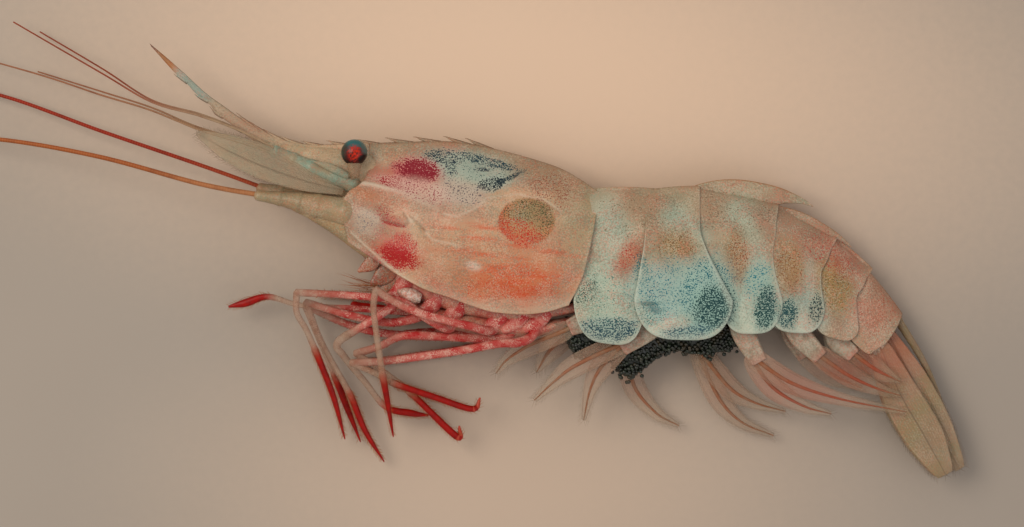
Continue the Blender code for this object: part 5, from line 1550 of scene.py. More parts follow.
@dataclass
class Legs:
    """Five pairs of walking legs and the outer mouth legs, each of several joints."""

    underside: Underside
    root_radius: float = 0.65
    flat: float = 0.8
    limbs: tuple[Limb, ...] = (
        Limb("leg1_left", ((-11.5, -10.3, 7), (-15, -10.7, 6.4), (-20.2, -9.6, 6.4), (-25.2, -8.1, 6.4)),
             ((-23.5, -12.7, 5.5), (-21.6, -16.4, 5), (-19.5, -20.3, 4), (-17.7, -24.8, 3), (-15.2, -29, 2)),
             red=0.6, bristly=2.0),
        Limb("leg1_right", ((-13, -9.3, 4.4), (-19.5, -8.9, 4.6), (-26, -8.5, 4.4), (-30.2, -7.4, 4),
                            (-33.2, -8.2, 3.7),
              (-35.4, -8.7, 3.5)), radii=(0.65, 0.5, 0.42, 0.38, 0.4, 0.55, 0.14), pale=(0.5, 0.8), red=0.8,
             cuts=(0, 0.1, 0.42, 0.8, 1), bristly=1.2),
        Limb("leg2_left", ((-6.5, -11.5, 8.1), (-8.1, -10.9, 9.2), (-10.3, -9.6, 9.6), (-13, -7.9, 9.4),
                           (-19, -7.2, 8.8),
              (-26.3, -6.8, 8.7)),
             ((-26.3, -9.4, 8.3), (-25, -11.9, 7.5), (-23.1, -16.6, 6), (-21.6, -20.8, 4.5),
              (-20.3, -26, 2.6)),
             red=0.42, bristly=1.4),
        Limb("leg2_right", ((-6.4, -11.2, 3.3), (-7.9, -10.7, 2.8), (-10, -9.9, 2.6), (-15, -9, 2.9),
                            (-19.2, -8.6, 3)),
             radii=(0.65, 0.5, 0.48, 0.48, 0.5, 0.6), pale=(2, 3), red=0.3, cuts=(0, 0.15, 0.6, 1)),
        Limb("leg3_left", ((-0.8, -11.7, 8.3), (-1.9, -11.7, 9.4), (-3.6, -11.2, 10.3), (-6.5, -10.5, 10.9),
                           (-10.4, -9.4, 11.2),
              (-13.4, -8.1, 11.1), (-16, -6.4, 10.9)),
             ((-16.3, -8.6, 10.8), (-16, -11.5, 10.6), (-15.3, -16.4, 10.3), (-14.6, -20.8, 8),
              (-13.9, -25.6, 5)),
             red=0.58),
        Limb("leg3_right", ((-3.5, -12.2, 3.8), (-7.8, -12.6, 3.5), (-15, -12.2, 3.3), (-20.2, -10.9, 3.1),
                            (-25.5, -8.5, 3)),
             ((-23.9, -12.4, 2.8), (-22, -16.9, 2.4), (-20.2, -21.5, 2), (-18.3, -26.4, 1.6)), red=0.55,
             bristly=1.6),
        Limb("leg4_left", ((1.2, -12.4, 7.6), (-0.6, -12.8, 7.6), (-4.7, -12.7, 7.6), (-12.2, -12.4, 7.7),
                           (-15.6, -13.8, 7.6),
              (-18.7, -14.7, 7.6)),
             ((-15, -17.2, 6.9), (-11.6, -19.9, 5.9), (-5.7, -25.6, 3.9), (-5.3, -24.3, 3.9)), red=0.5,
             hooked=True),
        Limb("leg4_right", ((1.2, -12.2, 2.8), (-0.6, -12.1, 2.3), (-4.7, -11.9, 2.1), (-12.2, -12.3, 1.9),
                            (-15.6, -13.8, 1.9),
              (-18.7, -14.9, 2.5)), ((-15, -17.4, 2.6), (-11.6, -20.1, 2.3), (-7, -24.5, 1.3)), red=0.6),
        Limb("leg5_left", ((4, -12.6, 8.4), (2.2, -13.3, 9), (-0.1, -13.4, 9.3), (-4.9, -14.3, 9.2),
                           (-10.3, -15.1, 8.9),
              (-14.8, -15.7, 8.8), (-19.2, -15.9, 8.7)),
             ((-16.3, -17.2, 8.3), (-13.4, -18.7, 7.9), (-8.5, -20.4, 6.8), (-3.6, -22, 5.2),
              (-2.6, -20.6, 5)),
             red=0.36, hooked=True),
        Limb("leg5_right", ((4, -12.5, 2.6), (2.5, -13, 1.3), (-0.6, -13.1, 0.9), (-4.9, -14.3, 0.9),
                            (-10.3, -15.1, 0.9),
              (-14.8, -15.7, 0.9), (-19, -16, 0.9)),
              ((-16.3, -17.5, 0.9), (-13.4, -19, 0.9), (-3.8, -22.1, 0.9)),
             red=0.4),
        Limb("maxilliped3_left", ((-14, -8.6, 8), (-17, -10.7, 8), (-21, -13.3, 7.2), (-20.2, -15.2, 6.4),
                                  (-17.6, -18.5, 4.6),
              (-14.9, -21.8, 3.3), (-11.7, -22.6, 3.2), (-9.4, -22.9, 3.2)),
             radii=(0.75, 0.6, 0.55, 0.55, 0.5, 0.45, 0.42, 0.48, 0.14), pale=(0.3, 0.78), red=0.8,
             cuts=(0, 0.36, 0.79, 1), bristly=2.0),
        Limb("maxilliped3_right", ((-13.4, -8, 2.7), (-15.2, -7.6, 1.5), (-19, -7.3, 1.3), (-24, -7.2, 1.2)),
             radii=(0.7, 0.55, 0.5, 0.45, 0.2), pale=(2, 3), red=0.35, cuts=(0, 0.4, 1)),
    )

    def root(self, limb: Limb) -> Point:
        """Start of a leg just under the plates, at the lowest of three places across its base."""
        apart = self.underside.leg_apart
        shifts = np.array((-self.root_radius, 0, self.root_radius))
        lowest = float(self.underside.bottom(limb.x + shifts, apart).min())
        return (limb.x, lowest - GAP, float(mid(limb.x)) + limb.side * apart)

    def route(self, points: Rows, radii: Array) -> Array:
        """Smoothed rows through points with those radii, which are less from side to side of the animal."""
        return smooth(np.hstack([np.array(points, float), radii[:, None], self.flat * radii[:, None]]), 16)

    def base(self, root: Point, side: Side) -> Surface:
        """Broad flat joint that covers the start of a leg."""
        x, y, z = root
        z = z + 0.35 * side
        points = ((x + 1.1, y + 2.6, z, 0.8, 0.6), (x + 0.7, y + 1.5, z, 1.15, 0.75),
                  (x - 0.3, y + 0.2, z, 1.05, 0.7), (x - 1.7, y - 0.7, z, 0.6, 0.5))
        return Course(points, 9, tips=(0.8, 0.8)).tube(round_section(28))

    def one_part(self, limb: Limb, root: Point) -> tuple[list[Surface], list[Array]]:
        """Joints of a limb that is one node."""
        rows = self.route((root, *limb.upper), np.array(limb.radii))
        rows = np.vstack([rows[:1] + (0, 1.2, 0, 0, 0), rows])
        soft = 0.04
        marks = {"pale": ((limb.pale[0] - soft, limb.pale[0] + soft, limb.pale[1] - soft,
                           limb.pale[1] + soft),
                          (0, 0.9, 0.9, 0)),
                 "red": ((limb.red - 0.02, limb.red + 0.03), (0, 1))}
        pairs = list(zip(limb.cuts, limb.cuts[1:]))
        parts = [podomere(rows, max(low - 0.015, 0), high, 40, 0.1, marks=marks) for low, high in pairs]
        return [self.base(root, limb.side),
                *parts], [at_shares(rows, np.linspace(max(limb.red, 0.02), 1, 60))]

    def two_parts(self, limb: Limb, root: Point) -> tuple[list[Surface], list[Array]]:
        """Joints of a limb with an upper and a lower node, which meet in a knee."""
        places = (root, *limb.upper)
        last = len(places) - 1
        upper = self.route(places, np.interp(range(last + 1), (0, 1, 0.7 * last, last),
                                             (0.7, 0.62, 0.56, 0.46)))
        upper = np.vstack([upper[:1] + (0, 1.2, 0, 0, 0), upper])
        places = (limb.upper[-1], *limb.lower)
        last = len(places) - 1
        tip = 0.16 if limb.hooked else 0.1
        lower = self.route(places, np.interp(range(last + 1), (0, 0.5 * last, 0.75 * last, last),
                                             (0.44, 0.42, 0.47, tip)))
        above = {"pale": ((limb.pale[0], 1), (0, 0.75)), "red": ((0, 1), (0.25, 0))}
        below = {"pale": ((0, limb.red - 0.08, limb.red + 0.02), (0.8, 0.95, 0)),
                 "red": ((limb.red - 0.06, limb.red + 0.02), (0, 1)),
                 "rust": ((limb.red - 0.14, limb.red - 0.03, limb.red + 0.05), (0, 0.6, 0))}
        parts = [podomere(upper, 0, 0.15, 16, 0.08, marks=above),
                 podomere(upper, 0.13, 1, 70, 0.12, marks=above)]
        claw = 0.93 if limb.hooked else 0.9
        parts += [podomere(lower, 0, limb.red, 30, 0.12, marks=below),
                  podomere(lower, limb.red - 0.02, claw, 40, 0.06, marks=below),
                  podomere(lower, claw - 0.03, 1, 16, -0.1, layer=1 if limb.hooked else 0, marks=below)]
        hairy = [at_shares(lower, np.linspace(limb.red - 0.05, 0.99, 60)),
                 at_shares(upper, np.linspace(0.3, 0.9, 40))]
        return [self.base(root, limb.side), *parts], hairy

    def build(self, bench: Bench) -> None:
        """Make each leg, and one coat of bristles for all of them."""
        hair = []
        total = 2 * len(self.limbs)
        for index, limb in enumerate(self.limbs):
            root = self.root(limb)
            parts, hairy = (self.two_parts if limb.lower else self.one_part)(limb, root)
            bench.add(f"{limb.name}_joints", parts, (LIMB_FINISH, CLAW_FINISH), "leg", limb.nodes)
            for part, rows in enumerate(hairy):
                density = (3.0 if part == 0 else 0.8) * limb.bristly
                fringe = Fringe(0.62 if part == 0 else 0.35, 0.03, density, 1.1, 0.25)
                course = Course(rows, 0, tips=(0.0, 0.0))
                for height in (-0.5, 0.5):
                    hair.append(fringe.grow(course, 0.02, 0.98, 2 * index + part, total, height))
        bench.add("leg_bristles", hair, (BRISTLE_FINISH,), "leg", coat=True)


@dataclass(frozen=True)
class Segment:
    """One segment of the abdomen: the front and rear edges of its plate from the back down, and its lobe."""

    number: int
    front: Rows
    rear: Rows
    lobe: float = 0.0
    lift: float = 0.0
    arch: float = 0.3


@dataclass
class Abdomen:
    """Six overlapping shell plates with side flaps, keels on the third and fourth, and the flesh inside."""

    joints: tuple = (((13, 6.4), (11.3, -7.8), 4.5), ((19.8, 6.4), (18.5, -8.6), 4.65),
                     ((25.2, 6.9), (27, -8.8), 4.7), ((35.6, 4.6), (35.4, -9.2), 4.2),
                     ((43.3, 0.3), (41.2, -9.9), 3.25), ((48, -3.7), (45.9, -11.8), 2.4),
                     ((52.5, -9.8), (48.6, -15.7), 1.9))
    depths: Point = (0, 0.06, 0.18, 0.35, 0.55, 0.75, 1, 1.5)
    shares: Point = (0, 0.40, 0.72, 0.93, 1, 0.97, 0.93, 0.86)
    body_depths: Point = (0, 0.06, 0.18, 0.35, 0.55, 0.75, 0.92, 1)
    body_shares: Point = (0, 0.40, 0.72, 0.93, 1, 0.96, 0.86, 0.78)
    knots: Point = (0, 0.3, 0.6, 1)
    thickness: float = 0.22
    overlap: float = 0.55
    segments: tuple[Segment, ...] = (
        Segment(1, ((11.3, 6.6), (11.9, 3), (10.3, -1.5), (9.5, -7.9)),
                ((20.2, 6.45), (20.4, 3), (20.2, -1.5), (18.6, -9)), 5, arch=0.3),
        Segment(2, ((19.2, 6.5), (18.9, 3), (18.6, -0.3), (17.3, -7.6)),
                ((25.4, 6.9), (25.3, 3.2), (26.4, -0.6), (30.1, -7.9)), 5.2, lift=0.35, arch=0.15),
        Segment(3, ((24.6, 6.85), (24.9, 3), (25.2, -1), (28.6, -8)),
                ((35.7, 4.6), (35.2, 1.5), (35.4, -3), (36.6, -7.9)), 4.2, arch=0.9),
        Segment(4, ((34.8, 5), (34.6, 1.2), (34.4, -3), (34.6, -8.4)),
                ((43.4, 0.3), (42.1, -2), (41.6, -5), (42.1, -8.9)), 3.4, arch=0.5),
        Segment(5, ((42.5, 0.95), (41.4, -2.2), (40.6, -6), (40.6, -9.9)),
                ((48.1, -3.7), (46.8, -5.6), (46.3, -8), (46.6, -11.4)), 2.2, arch=0.35),
        Segment(6, ((47.2, -3), (45.9, -5.8), (45.2, -9), (45.2, -12)),
                ((52.6, -9.8), (51.4, -11.8), (50.1, -13.5), (48.2, -14.6)), 0.7, arch=0.25),
    )
    keels: dict[int, tuple[Rows, Rows]] = field(default_factory=lambda: {
        3: (((24.8, 6.9), (26.5, 7.45), (28.8, 7.85), (31.5, 7.85), (34.5, 7.35), (36.7, 6.75), (38.7, 5.85),
             (40, 5.1), (40.85, 4.4)),
            ((24.8, 6.3), (28, 5.9), (32, 5.3), (35.3, 4.5), (37.2, 4.75), (39.2, 4.7), (40.85, 4.3))),
        4: (((37, 4.3), (38.4, 3.95), (40.1, 3.3), (42.2, 2.15), (44, 0.95), (45.2, -0.1), (45.9, -0.9)),
            ((37, 2.8), (40.1, 1.8), (42.2, 0.6), (43.4, 0.1), (44.6, -0.35), (45.9, -1))),
    })

    def frame_at(self, number: int, x: Array, y: Array) -> tuple[Array, Array]:
        """Share of the depth and of the length of a segment at points of the side view."""
        front, rear = self.joints[number - 1], self.joints[number]
        share = np.clip((x - front[0][0]) / (rear[0][0] - front[0][0]), 0, 1)
        top = front[0][1] + (rear[0][1] - front[0][1]) * share
        bottom = front[1][1] + (rear[1][1] - front[1][1]) * share
        return (top - y) / (top - bottom), share

    def half_width(self, number: int, share: Array) -> Array:
        """Half width of a segment at a share of its length."""
        front, rear = self.joints[number - 1][2], self.joints[number][2]
        return front + (rear - front) * share

    def plate(self, segment: Segment) -> Surface:
        """Plate from one flap over the back to the other, as a thick grid.

        Its outline is eased between the front and rear edges, and the lobe hangs below by a rounded share.
        Its level rises a little from the front, under the plate before, to the rear, on the next.
        """
        u, v = np.meshgrid(ease(np.linspace(0, 1, 84), (0, 0.5, 1), (0, 0.5, 1)), np.linspace(-1, 1, 169),
                           indexing="ij")
        down = np.abs(v)
        edges = [np.stack([ease(down, self.knots, column) for column in np.array(edge).T], -1)
                 for edge in (segment.front, segment.rear)]
        reach = self.overlap * (1 - step(down, 0.3, 0.55)) if segment.number < 6 else 0 * down
        edges[1][..., 0] += reach
        edges[1][..., 1] -= 0.3 * reach * (segment.number > 2)
        flat = edges[0] + (edges[1] - edges[0]) * u[..., None]
        round_off = np.maximum(1 - np.abs(2 * u - 1) ** 3.4, 0) ** 0.6
        hang = np.maximum(down - 0.6, 0) / 0.4
        rise = segment.arch * 4 * u * (1 - u) * (1 - step(down, 0, 0.6))
        x, y = flat[..., 0], flat[..., 1] + rise - segment.lobe * round_off * hang
        depth, share = self.frame_at(segment.number, x, y)
        depth = np.clip(np.where(down < 0.3, depth * step(down, -0.001, 0.02), depth), 0, 1.5)
        wide = ease(np.sqrt(depth), tuple(np.sqrt(self.depths)), self.shares)
        half = self.half_width(segment.number, share) * wide
        half = half + segment.lift * step(down, 0.22, 0.5) * (1 - 0.3 * step(down, 0.7, 1))
        half = half + 0.05 * (u - 0.45) * step(down, 0.02, 0.2) + 0.12
        half = half + 0.06 * np.sin(1.7 * x + 0.8 * y) * step(down, 0.1, 0.3)
        z = mid(x) + np.sign(v + 1e-9) * half
        y = y + 0.1 * (1 - step(down, 0, 0.3)) + 0.14 * (u - 0.5) * (1 - step(down, 0.05, 0.25))
        outer = np.stack([x, y, z], -1)
        normal = grid_normals(outer)
        if normal[42, 84, 1] < 0:
            normal = -normal
        edge = np.minimum.reduce([np.minimum(u, 1 - u) * 8, (1 - down) * 10])
        wall = self.thickness * (0.3 + 0.7 * np.clip(edge * 1.6, 0, 1) ** 0.5)
        inner = outer - normal * wall[..., None]
        flap = step(down, 0.45, 0.7)
        free = bell(1 - u, 0, 0.018) * (0.3 + 0.7 * flap)
        free = np.maximum(free, bell(1 - down, 0, 0.018) * (segment.number < 5))
        free = np.maximum(free, bell(u, 0, 0.018) * flap * (segment.number in (1, 2)))
        free = free * (1.0 if segment.number < 5 else 0.3)
        return Surface.slab(outer, inner, {"rim": free, "dark": 0.35 * bell(down, 0, 0.012)})

    def body(self, segment: Segment) -> Surface:
        """Flesh inside the plate, with a soft ridge across the belly."""
        u = np.linspace(-0.02, 1.02, 26)[:, None]
        q = np.linspace(0, 1, 40)[None] ** 1.2
        front, rear = self.joints[segment.number - 1], self.joints[segment.number]
        ends = [np.stack([joint[0][k] + (joint[1][k] - joint[0][k]) * q for k in (0, 1)], -1)
                for joint in (front, rear)]
        flat = ends[0] + (ends[1] - ends[0]) * u[..., None]
        x, y = flat[..., 0], flat[..., 1] - 0.25 + 0.25 * q
        wide = ease(np.sqrt(q), tuple(np.sqrt(self.body_depths)), self.body_shares)
        half = (self.half_width(segment.number, np.clip(u, 0, 1)) * wide - 0.12) * (q > 0)
        half = np.maximum(half, 0)
        y = y - 0.3 * bell(u, 0.5, 0.2) * step(q, 0.9, 1)
        left = np.stack([x, y, half], -1)
        share = np.linspace(0.85, 0.15, 6)[None, :, None]
        floor = left[:, -1:] * (1, 1, 0) + left[:, -1:] * (0, 0, 1) * share
        left = np.concatenate([left, floor], 1)
        rings = np.concatenate([left, left[:, -1:] * (1, 1, 0), left[:, :0:-1] * (1, 1, -1)], 1)
        rings[..., 2] += mid(rings[..., 0])
        return Surface.tube(rings, layer=1)

    def keel(self, number: int) -> Surface:
        """Keel that runs out behind its segment in a spine: a thin lens between two edges."""
        share, turn, depth, flat = between_edges(self.keels[number], 70, 32)
        half = 0.75 * np.clip((1.02 - share) / 0.5, 0.1, 1) * np.clip(share / 0.06, 0.2, 1)
        lens = np.sign(np.sin(turn)) * np.abs(np.sin(turn)) ** 0.8 * (0.3 + 0.7 * depth)
        z = mid(flat[:, :1, 0]) + lens * half[:, None]
        edge = 0.85 * bell(depth, 0, 0.05)[None] * np.ones((len(share), 1))
        return Surface.tube(np.concatenate([flat, z[..., None]], -1), {"dark": edge})

    def build(self, bench: Bench) -> None:
        """Make the six segments."""
        for segment in self.segments:
            parts = [self.plate(segment), self.body(segment)]
            if segment.number in self.keels:
                parts.append(self.keel(segment.number))
            bench.add(f"abdomen_segment_{segment.number}", parts, (ABDOMEN_FINISH, BODY_FLESH),
                      "abdomen_shell",
                      (f"abdomen_{segment.number}",))


@dataclass
class TailFan:
    """Telson and the two pairs of blades beside it."""

    abdomen: Abdomen
    level: float = 2.75

    def root(self, share: float, side: float, apart: float) -> Point:
        """Start of a blade on the rear face of the last segment."""
        top, bottom = (np.array(place) for place in self.abdomen.joints[-1][:2])
        line = unit(bottom - top)
        x, y = top + (bottom - top) * share + GAP * line[::-1] * (-1, 1)
        return (float(x), float(y), float(mid(x)) + side * apart)

    def telson(self) -> list[Surface]:
        """Tapering plate with a furrow along its back and small spines on its edges."""
        start = self.root(0.13, 1, 0)
        points = ((start[0] - 0.6, start[1] + 0.8, start[2], 0.62, 1.1), (*start, 0.62, 1.1),
                  (55.4, -15.9, self.level, 0.5, 0.8), (57.7, -21.4, self.level, 0.4, 0.55),
                  (59.5, -26.6, self.level, 0.2, 0.25))
        course = Course(points, 16)
        turn = around(32)
        section = round_section(32) * (1 - 0.22 * bell(np.cos(turn), 1, 0.25))[:, None]
        parts = [course.tube(section, dark=0.1 + 0.3 * step(course.share, 0.85, 1))]
        for share in (0.5, 0.62, 0.74, 0.86, 0.98):
            k = int(share * (len(course.rows) - 1))
            for side in Side:
                foot = course.at(0, 0.8 * side)[k]
                way = course.ahead[k] * 0.8 + course.height[k] * side * 0.35
                rows = [(*(foot - way * 0.3), 0.12, 0.12), (*(foot + way * 0.3), 0.08, 0.08),
                        (*(foot + way), 0.02, 0.02)]
                parts.append(Course(rows, 3).tube(round_section(8)))
        return parts

    def blades(self) -> dict[str, Rows]:
        """Route of each blade: place, half width and half thickness."""
        made = {}
        for side in Side:
            inner, outer = self.root(0.46, side, 0.75), self.root(0.77, side, 1.5)
            made[f"inner_{side.word}"] = (
                (inner[0] - 0.5, inner[1] + 0.7, inner[2], 0.7, 0.25), (*inner, 0.9, 0.25),
                *beside(side, self.level, (54, -18.4, 1.15, 1.9, 0.25), (56.9, -24.2, 1.2, 2.05, 0.2),
                        (59.2, -28.4, 1.15, 1.2, 0.16), (60, -29.8, 1.1, 0.7, 0.13)))
            made[f"outer_{side.word}"] = (
                (outer[0] - 0.5, outer[1] + 0.7, outer[2], 1.0, 0.27), (*outer, 1.4, 0.27),
                *beside(side, self.level, (52.2, -20.2, 2.2, 2.4, 0.26), (55.2, -25.4, 2.35, 2.5, 0.2),
                        (57.3, -29.2, 2.3, 1.6, 0.16), (58, -30.5, 2.3, 1.1, 0.13)))
        return made

    def build(self, bench: Bench) -> None:
        """Make the telson, the blades and the hairs round them."""
        bench.add("telson_plate", self.telson(), (TAIL_FINISH,), "tail", ("telson",))
        hair = []
        for index, (name, points) in enumerate(self.blades().items()):
            course = Course(points, 16)
            red = 0.45 * bell(course.share, 0.12, 0.2)
            blade = course.tube(blade_section(60), red=red, dark=0.15 * step(course.share, 0.92, 1))
            bench.add(f"uropod_blade_{name}", [blade], (TAIL_FINISH,), "tail", (f"uropod_{name}",))
            hair.append(Fringe(0.95, 0.028, 6, 1.6).grow(course, 0.4, 1, index, 4, inset=0.96))
        bench.add("tail_hairs", hair, (HAIR_FINISH,), "tail", coat=True)


@dataclass
class SwimmingLegs:
    """Ten swimming legs: a flat stalk, and one or two blades with a red axis and a clear fringe."""

    abdomen: Abdomen
    half: float = 1.1
    legs: dict[str, tuple] = field(default_factory=lambda: {
        "1_left": (((13.2, 8.5), (9, -11.4, 8.4)),
                   (((8, -11.9, 8.2), (4, -13.6, 6.4), (1, -15.5, 6.1), (-0.5, -17.3, 5.8)),)),
        "2_left": (((21.5, 8.2), (15.8, -14, 8)),
                   (((15.4, -13.6, 8), (9.8, -16.3, 7.6), (6.9, -18.5, 7), (4.5, -20.8, 6.2)),
                    ((15.4, -14.1, 7.9), (13, -16.7, 7.2), (11.7, -19.5, 6.4), (10.9, -23.4, 5.2)))),
        "3_left": (((30.5, 7.5), (33.6, -15.8, 7.5)),
                   (((33.2, -15.5, 7.5), (37.7, -18.5, 7.5), (44, -20.6, 7.2), (52.6, -22.3, 6.9)),
                    ((33, -15.9, 7.3), (35.6, -19.3, 7), (39.5, -21.6, 6.5), (43, -22.6, 6)))),
        "4_left": (((37.5, 6.4), (41.6, -15.2, 6.5)),
                   (((41.5, -15, 6.5), (45.3, -17.6, 6.1), (49, -19.3, 5.9), (52, -20.2, 5.9)),)),
        "5_left": (((43.2, 4.9), (46, -15, 5.4)),
                   (((46, -14.8, 5.4), (48.8, -16.8, 5.7), (52, -18.4, 5.8)),)),
        "1_right": (((13.2, 3.4), (9.6, -12, 3.6)),
                    (((9.2, -12.2, 3.7), (6.5, -14.4, 4.2), (4.8, -17.2, 4)),)),
        "2_right": (((21.5, 3), (16.8, -14.5, 2.8)),
                    (((16.6, -14.5, 2.8), (17.6, -19.2, 2.6), (20.4, -22.6, 2.2), (23.4, -24.3, 1.8)),)),
        "3_right": (((29, 2.8), (26.2, -15, 2.6)),
                    (((26.1, -14.8, 2.6), (28.6, -20.6, 2.4), (31.6, -23.8, 2), (35.8, -25.6, 1.6)),
                     ((26.4, -14.8, 3.3), (29.9, -19.2, 3.3), (33.2, -21.2, 3), (37.3, -22.4, 2.6)))),
        "4_right": (((37.5, 2.9), (40, -15.2, 2.4)),
                    (((40, -15, 2.4), (43.5, -17.6, 1.4), (47.4, -19.4, 1.1)),)),
        "5_right": (((43.2, 3.3), (45.2, -15.2, 2.3)),
                    (((45.2, -15, 2.3), (47.2, -16.6, 0.8), (48.6, -17.6, 0.7)),)),
    })

    def belly(self, x: float) -> float:
        """Y of the underside of the abdomen at x."""
        rows = np.array([bottom for _, bottom, _ in self.abdomen.joints])
        return float(np.interp(x, rows[:, 0], rows[:, 1]))

    def stalk(self, place: Point, foot: Point) -> tuple[Surface, Point]:
        """Flat stalk with a raised margin and an oblique end, and the place half way down it."""
        x, z = place
        root = (x, min(self.belly(x - self.half), self.belly(x + self.half)) - GAP, z)
        knee = tuple(p + (q - p) * 0.35 for p, q in zip((root[0], root[1] - 0.9, root[2]), foot))
        points = ((root[0], root[1] + 0.9, root[2], 0.9, 0.4), (*root, self.half, 0.42), (*knee, 1.5, 0.45),
                  (*foot, 1.1, 0.42))
        course = Course(points, 14, tips=(0.0, 0.25))
        section = blade_section(36, ((0.8, 0.35, 0.12), (-0.8, 0.35, 0.12), (0.1, 0.25, 0.2)))
        return course.tube(section, red=0.1 + 0.3 * step(course.share, 0.8, 1)), knee

    def build(self, bench: Bench) -> None:
        """Make each swimming leg, and one coat of hairs for all of them."""
        hair = []
        for index, (name, ((place, foot), blades)) in enumerate(self.legs.items()):
            stalk, knee = self.stalk(place, foot)
            inside = tuple(p + (q - p) * 0.8 for p, q in zip(knee, foot))
            parts = [stalk]
            for number, points in enumerate(blades):
                places = np.array((inside, *points), float)
                count = len(places)
                wide = np.interp(range(count), (0, 1, 2, count - 1), (0.3, 0.3, 0.24, 0.06))
                glow = 0.7 if name in ("3_left", "4_left", "5_left") else 0.25
                thick = np.interp(range(count), (0, count - 1), (0.28, 0.1))
                axis = Course(np.hstack([places, wide[:, None], thick[:, None]]), 16)
                parts.append(axis.tube(round_section(14), 1, red=glow * bell(axis.share, 0.55, 0.4)))
                spread = np.interp(range(count), (0, 1, 2, count - 1), (0.7, 1.35, 1.45, 0.3))
                web = Course(np.hstack([places, spread[:, None], 0 * spread[:, None] + 0.07]), 16)
                parts.append(web.tube(blade_section(28, ()), 2, red=0.8 * glow * bell(web.share, 0.35, 0.3)))
                fringe = Fringe(1.15, 0.026, 5, 1.7, 0.06)
                hair.append(fringe.grow(web, 0.12, 1, 2 * index + number, 20, inset=0.75))
            bench.add(f"swimming_leg_{name}", parts, (SWIM_FINISH, AXIS_FINISH, FRINGE_FINISH),
                      "swimming_leg",
                      (f"pleopod{name}",))
        bench.add("swimming_hairs", hair, (HAIR_FINISH,), "swimming_leg", coat=True)


@dataclass
class Eggs:
    """Mass of small eggs held under the belly, heaped on a dark core."""

    legs: SwimmingLegs
    rows: Rows = ((8.6, -11.6), (9.6, -14.6), (11, -15.2), (13, -14.6), (15, -16.4), (17, -17.8), (19, -16.2),
                  (22, -14.4), (26, -14.8), (28, -14.5), (30, -14), (32, -12.6))
    half: float = 1.45
    radius: float = 0.27
    count: int = 1500

    def outline(self, share: Array) -> tuple[Array, Array, Array]:
        """X, the top and the bottom of the mass at shares of its length."""
        rows = smooth(self.rows, 4)
        x = np.interp(share, np.linspace(0, 1, len(rows)), rows[:, 0])
        low = np.interp(share, np.linspace(0, 1, len(rows)), rows[:, 1])
        bellies = np.array([bottom for _, bottom, _ in self.legs.abdomen.joints])
        top = np.minimum(np.interp(x, bellies[:, 0], bellies[:, 1]) - 0.5, np.where(x < 10.5, -10.3, 0))
        return x, top, low

    def skin(self, share: Array, turn: Array, scale: float) -> Array:
        """Points of the mass's lumpy skin."""
        x, top, low = self.outline(share)
        lump = 1 + 0.08 * np.cos(40 * share + 3 * turn)
        return np.stack([x, (top + low) / 2 + (top - low) / 2 * np.sin(turn) * scale,
                         mid(x) + self.half * lump * np.cos(turn) * scale], -1)

    def heap(self) -> Surface:
        """Eggs set over the skin by the golden angle, with some below it, each a ball of 80 faces."""
        source = np.random.default_rng(SEED)
        order = np.arange(self.count)
        share = (order + 0.5) / self.count
        turn = order * math.pi * (3 - math.sqrt(5))
        places = self.skin(share, turn, 0.98) + random_about(source, self.count, 0.09)
        strays = self.skin(source.random(150), source.uniform(math.pi * 1.2, math.pi * 1.8, 150), 1.0)
        strays[:, 1] -= np.abs(source.normal(0, 0.55, 150))
        places = np.vstack([places, strays])
        cage = bmesh.new()
        bmesh.ops.create_icosphere(cage, subdivisions=2, radius=1)
        ball = np.array([corner.co for corner in cage.verts])
        faces = np.array([[corner.index for corner in face.verts] for face in cage.faces])
        cage.free()
        sizes = self.radius * source.uniform(0.85, 1.1, len(places))
        points = places[:, None] + ball[None] * sizes[:, None, None]
        points[..., 2] = np.maximum(points[..., 2], 0.02)
        tris = (np.arange(len(places))[:, None, None] * len(ball) + faces).reshape(-1, 3)
        return Surface(points.reshape(-1, 3), triangles(tris), np.zeros((len(tris), 4, 2)))

    def build(self, bench: Bench) -> None:
        """Make the core and the eggs on it one piece."""
        share, turn = np.meshgrid(np.linspace(0, 1, 60), around(24), indexing="ij")
        core = Surface.tube(self.skin(share, turn, 0.86))
        bench.add("egg_heap", [core, self.heap()], (EGG_FINISH,), "eggs", ("egg_mass",))


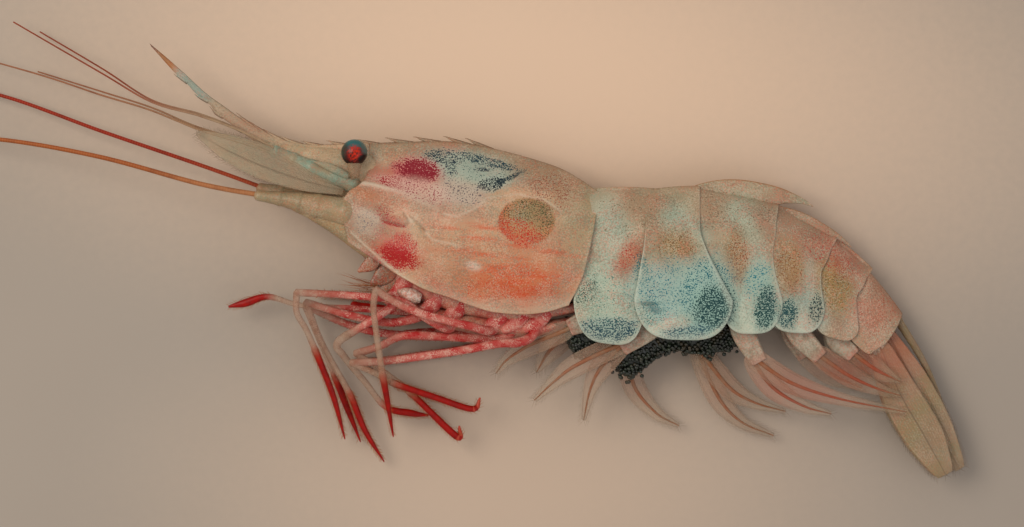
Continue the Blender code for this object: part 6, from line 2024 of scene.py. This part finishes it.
@dataclass
class Studio:
    """Camera of the photo's view, soft light from the left and a warm floor with painted pools of light.

    The floor's reach and its clearance under the animal are in metres.
    """

    lens: float = 150.0
    sensor: float = 36.0
    centre: Point = (1.56, -3.06, 6)
    distance: float = 554.7
    reach: float = 1.6
    clear: float = 0.00005
    floor_tint: Tint = (156, 144, 134)
    bright_tint: Tint = (214, 184, 160)
    world: float = 0.57

    def camera(self) -> None:
        """Camera straight above, with the back of the animal up in the picture."""
        data = bpy.data.cameras.new("camera")
        data.lens, data.sensor_width, data.clip_start, data.clip_end = self.lens, self.sensor, 0.01, 10
        item = bpy.data.objects.new("camera", data)
        item.location = (self.centre[0] * MM, self.centre[1] * MM, (self.centre[2] + self.distance) * MM)
        bpy.context.scene.collection.objects.link(item)
        bpy.context.scene.camera = item

    def light(self, name: str, place: Point, size: float, power: float, tint: Tint) -> None:
        """Square light that faces the animal."""
        data = bpy.data.lights.new(name, "AREA")
        data.size, data.energy, data.color = size, power, linear(tint)[:3]
        item = bpy.data.objects.new(name, data)
        item.location = place
        item.rotation_mode = "QUATERNION"
        item.rotation_quaternion = item.location.to_track_quat("Z", "Y")
        bpy.context.scene.collection.objects.link(item)

    def build(self) -> None:
        """Make the floor, the lights and the camera."""
        mesh = bpy.data.meshes.new("floor")
        places = [(right * self.reach, ahead * self.reach, -self.clear)
                  for right, ahead in ((-1, -1), (1, -1), (1, 1), (-1, 1))]
        mesh.from_pydata(places, [], [(0, 1, 2, 3)])
        floor = bpy.data.objects.new("floor", mesh)
        bpy.context.scene.collection.objects.link(floor)
        graph = Graph("floor_matter")
        shade = tuple(part - 5 for part in self.floor_tint)
        colour = graph.mix(graph.blotch(60, 3, 0.3, 0.7), self.floor_tint, shade)
        # Painted pools of light: a broad brighter patch above the animal's back and a fainter one below its
        # legs.
        colour = graph.mix(graph.spot((4, 22), (52, 24), -6, 0.9, 0.1), colour, self.bright_tint)
        low = graph.times(graph.spot((2, -32), (34, 16), 0, 0.9, 0.1), 0.5)
        colour = graph.mix(low, colour, self.bright_tint)
        mesh.materials.append(graph.close(colour, 1.0, 0.55))
        floor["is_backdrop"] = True
        self.light("key", (-0.34, 0.16, 0.5), 0.36, 2, (255, 246, 230))
        self.light("fill", (0.4, -0.2, 0.45), 0.5, 0.6, (246, 248, 255))
        world = bpy.data.worlds.new("world")
        world.use_nodes = True
        sky = world.node_tree.nodes["Background"]
        sky.inputs["Color"].default_value = (1, 0.965, 0.9, 1)
        sky.inputs["Strength"].default_value = self.world
        bpy.context.scene.world = world
        bpy.context.scene.view_settings.view_transform = "Standard"
        self.camera()


def corners(bounds: tuple) -> list[list[float]]:
    """Lowest and highest corner as plain lists."""
    return [list(corner) for corner in bounds]


def main() -> None:
    """Load the solids, dress every part and work out the size before and after."""
    logging.basicConfig(level=logging.INFO, format="%(message)s")
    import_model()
    solid = corners(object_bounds())
    Studio().build()
    bench = Bench()
    carapace = Carapace()
    underside = Underside(carapace)
    abdomen = Abdomen()
    swimming = SwimmingLegs(abdomen)
    for assembly in (carapace, Eyes(), Feelers(), underside, Legs(underside), abdomen, TailFan(abdomen),
                     swimming,
                     Eggs(swimming)):
        assembly.build(bench)
        LOG.info("%s is dressed", type(assembly).__name__)
    LOG.info("%d triangles in all", bench.faces)
    {"solid": solid, "dressed": corners(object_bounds())}


if __name__ == "__main__":
    main()
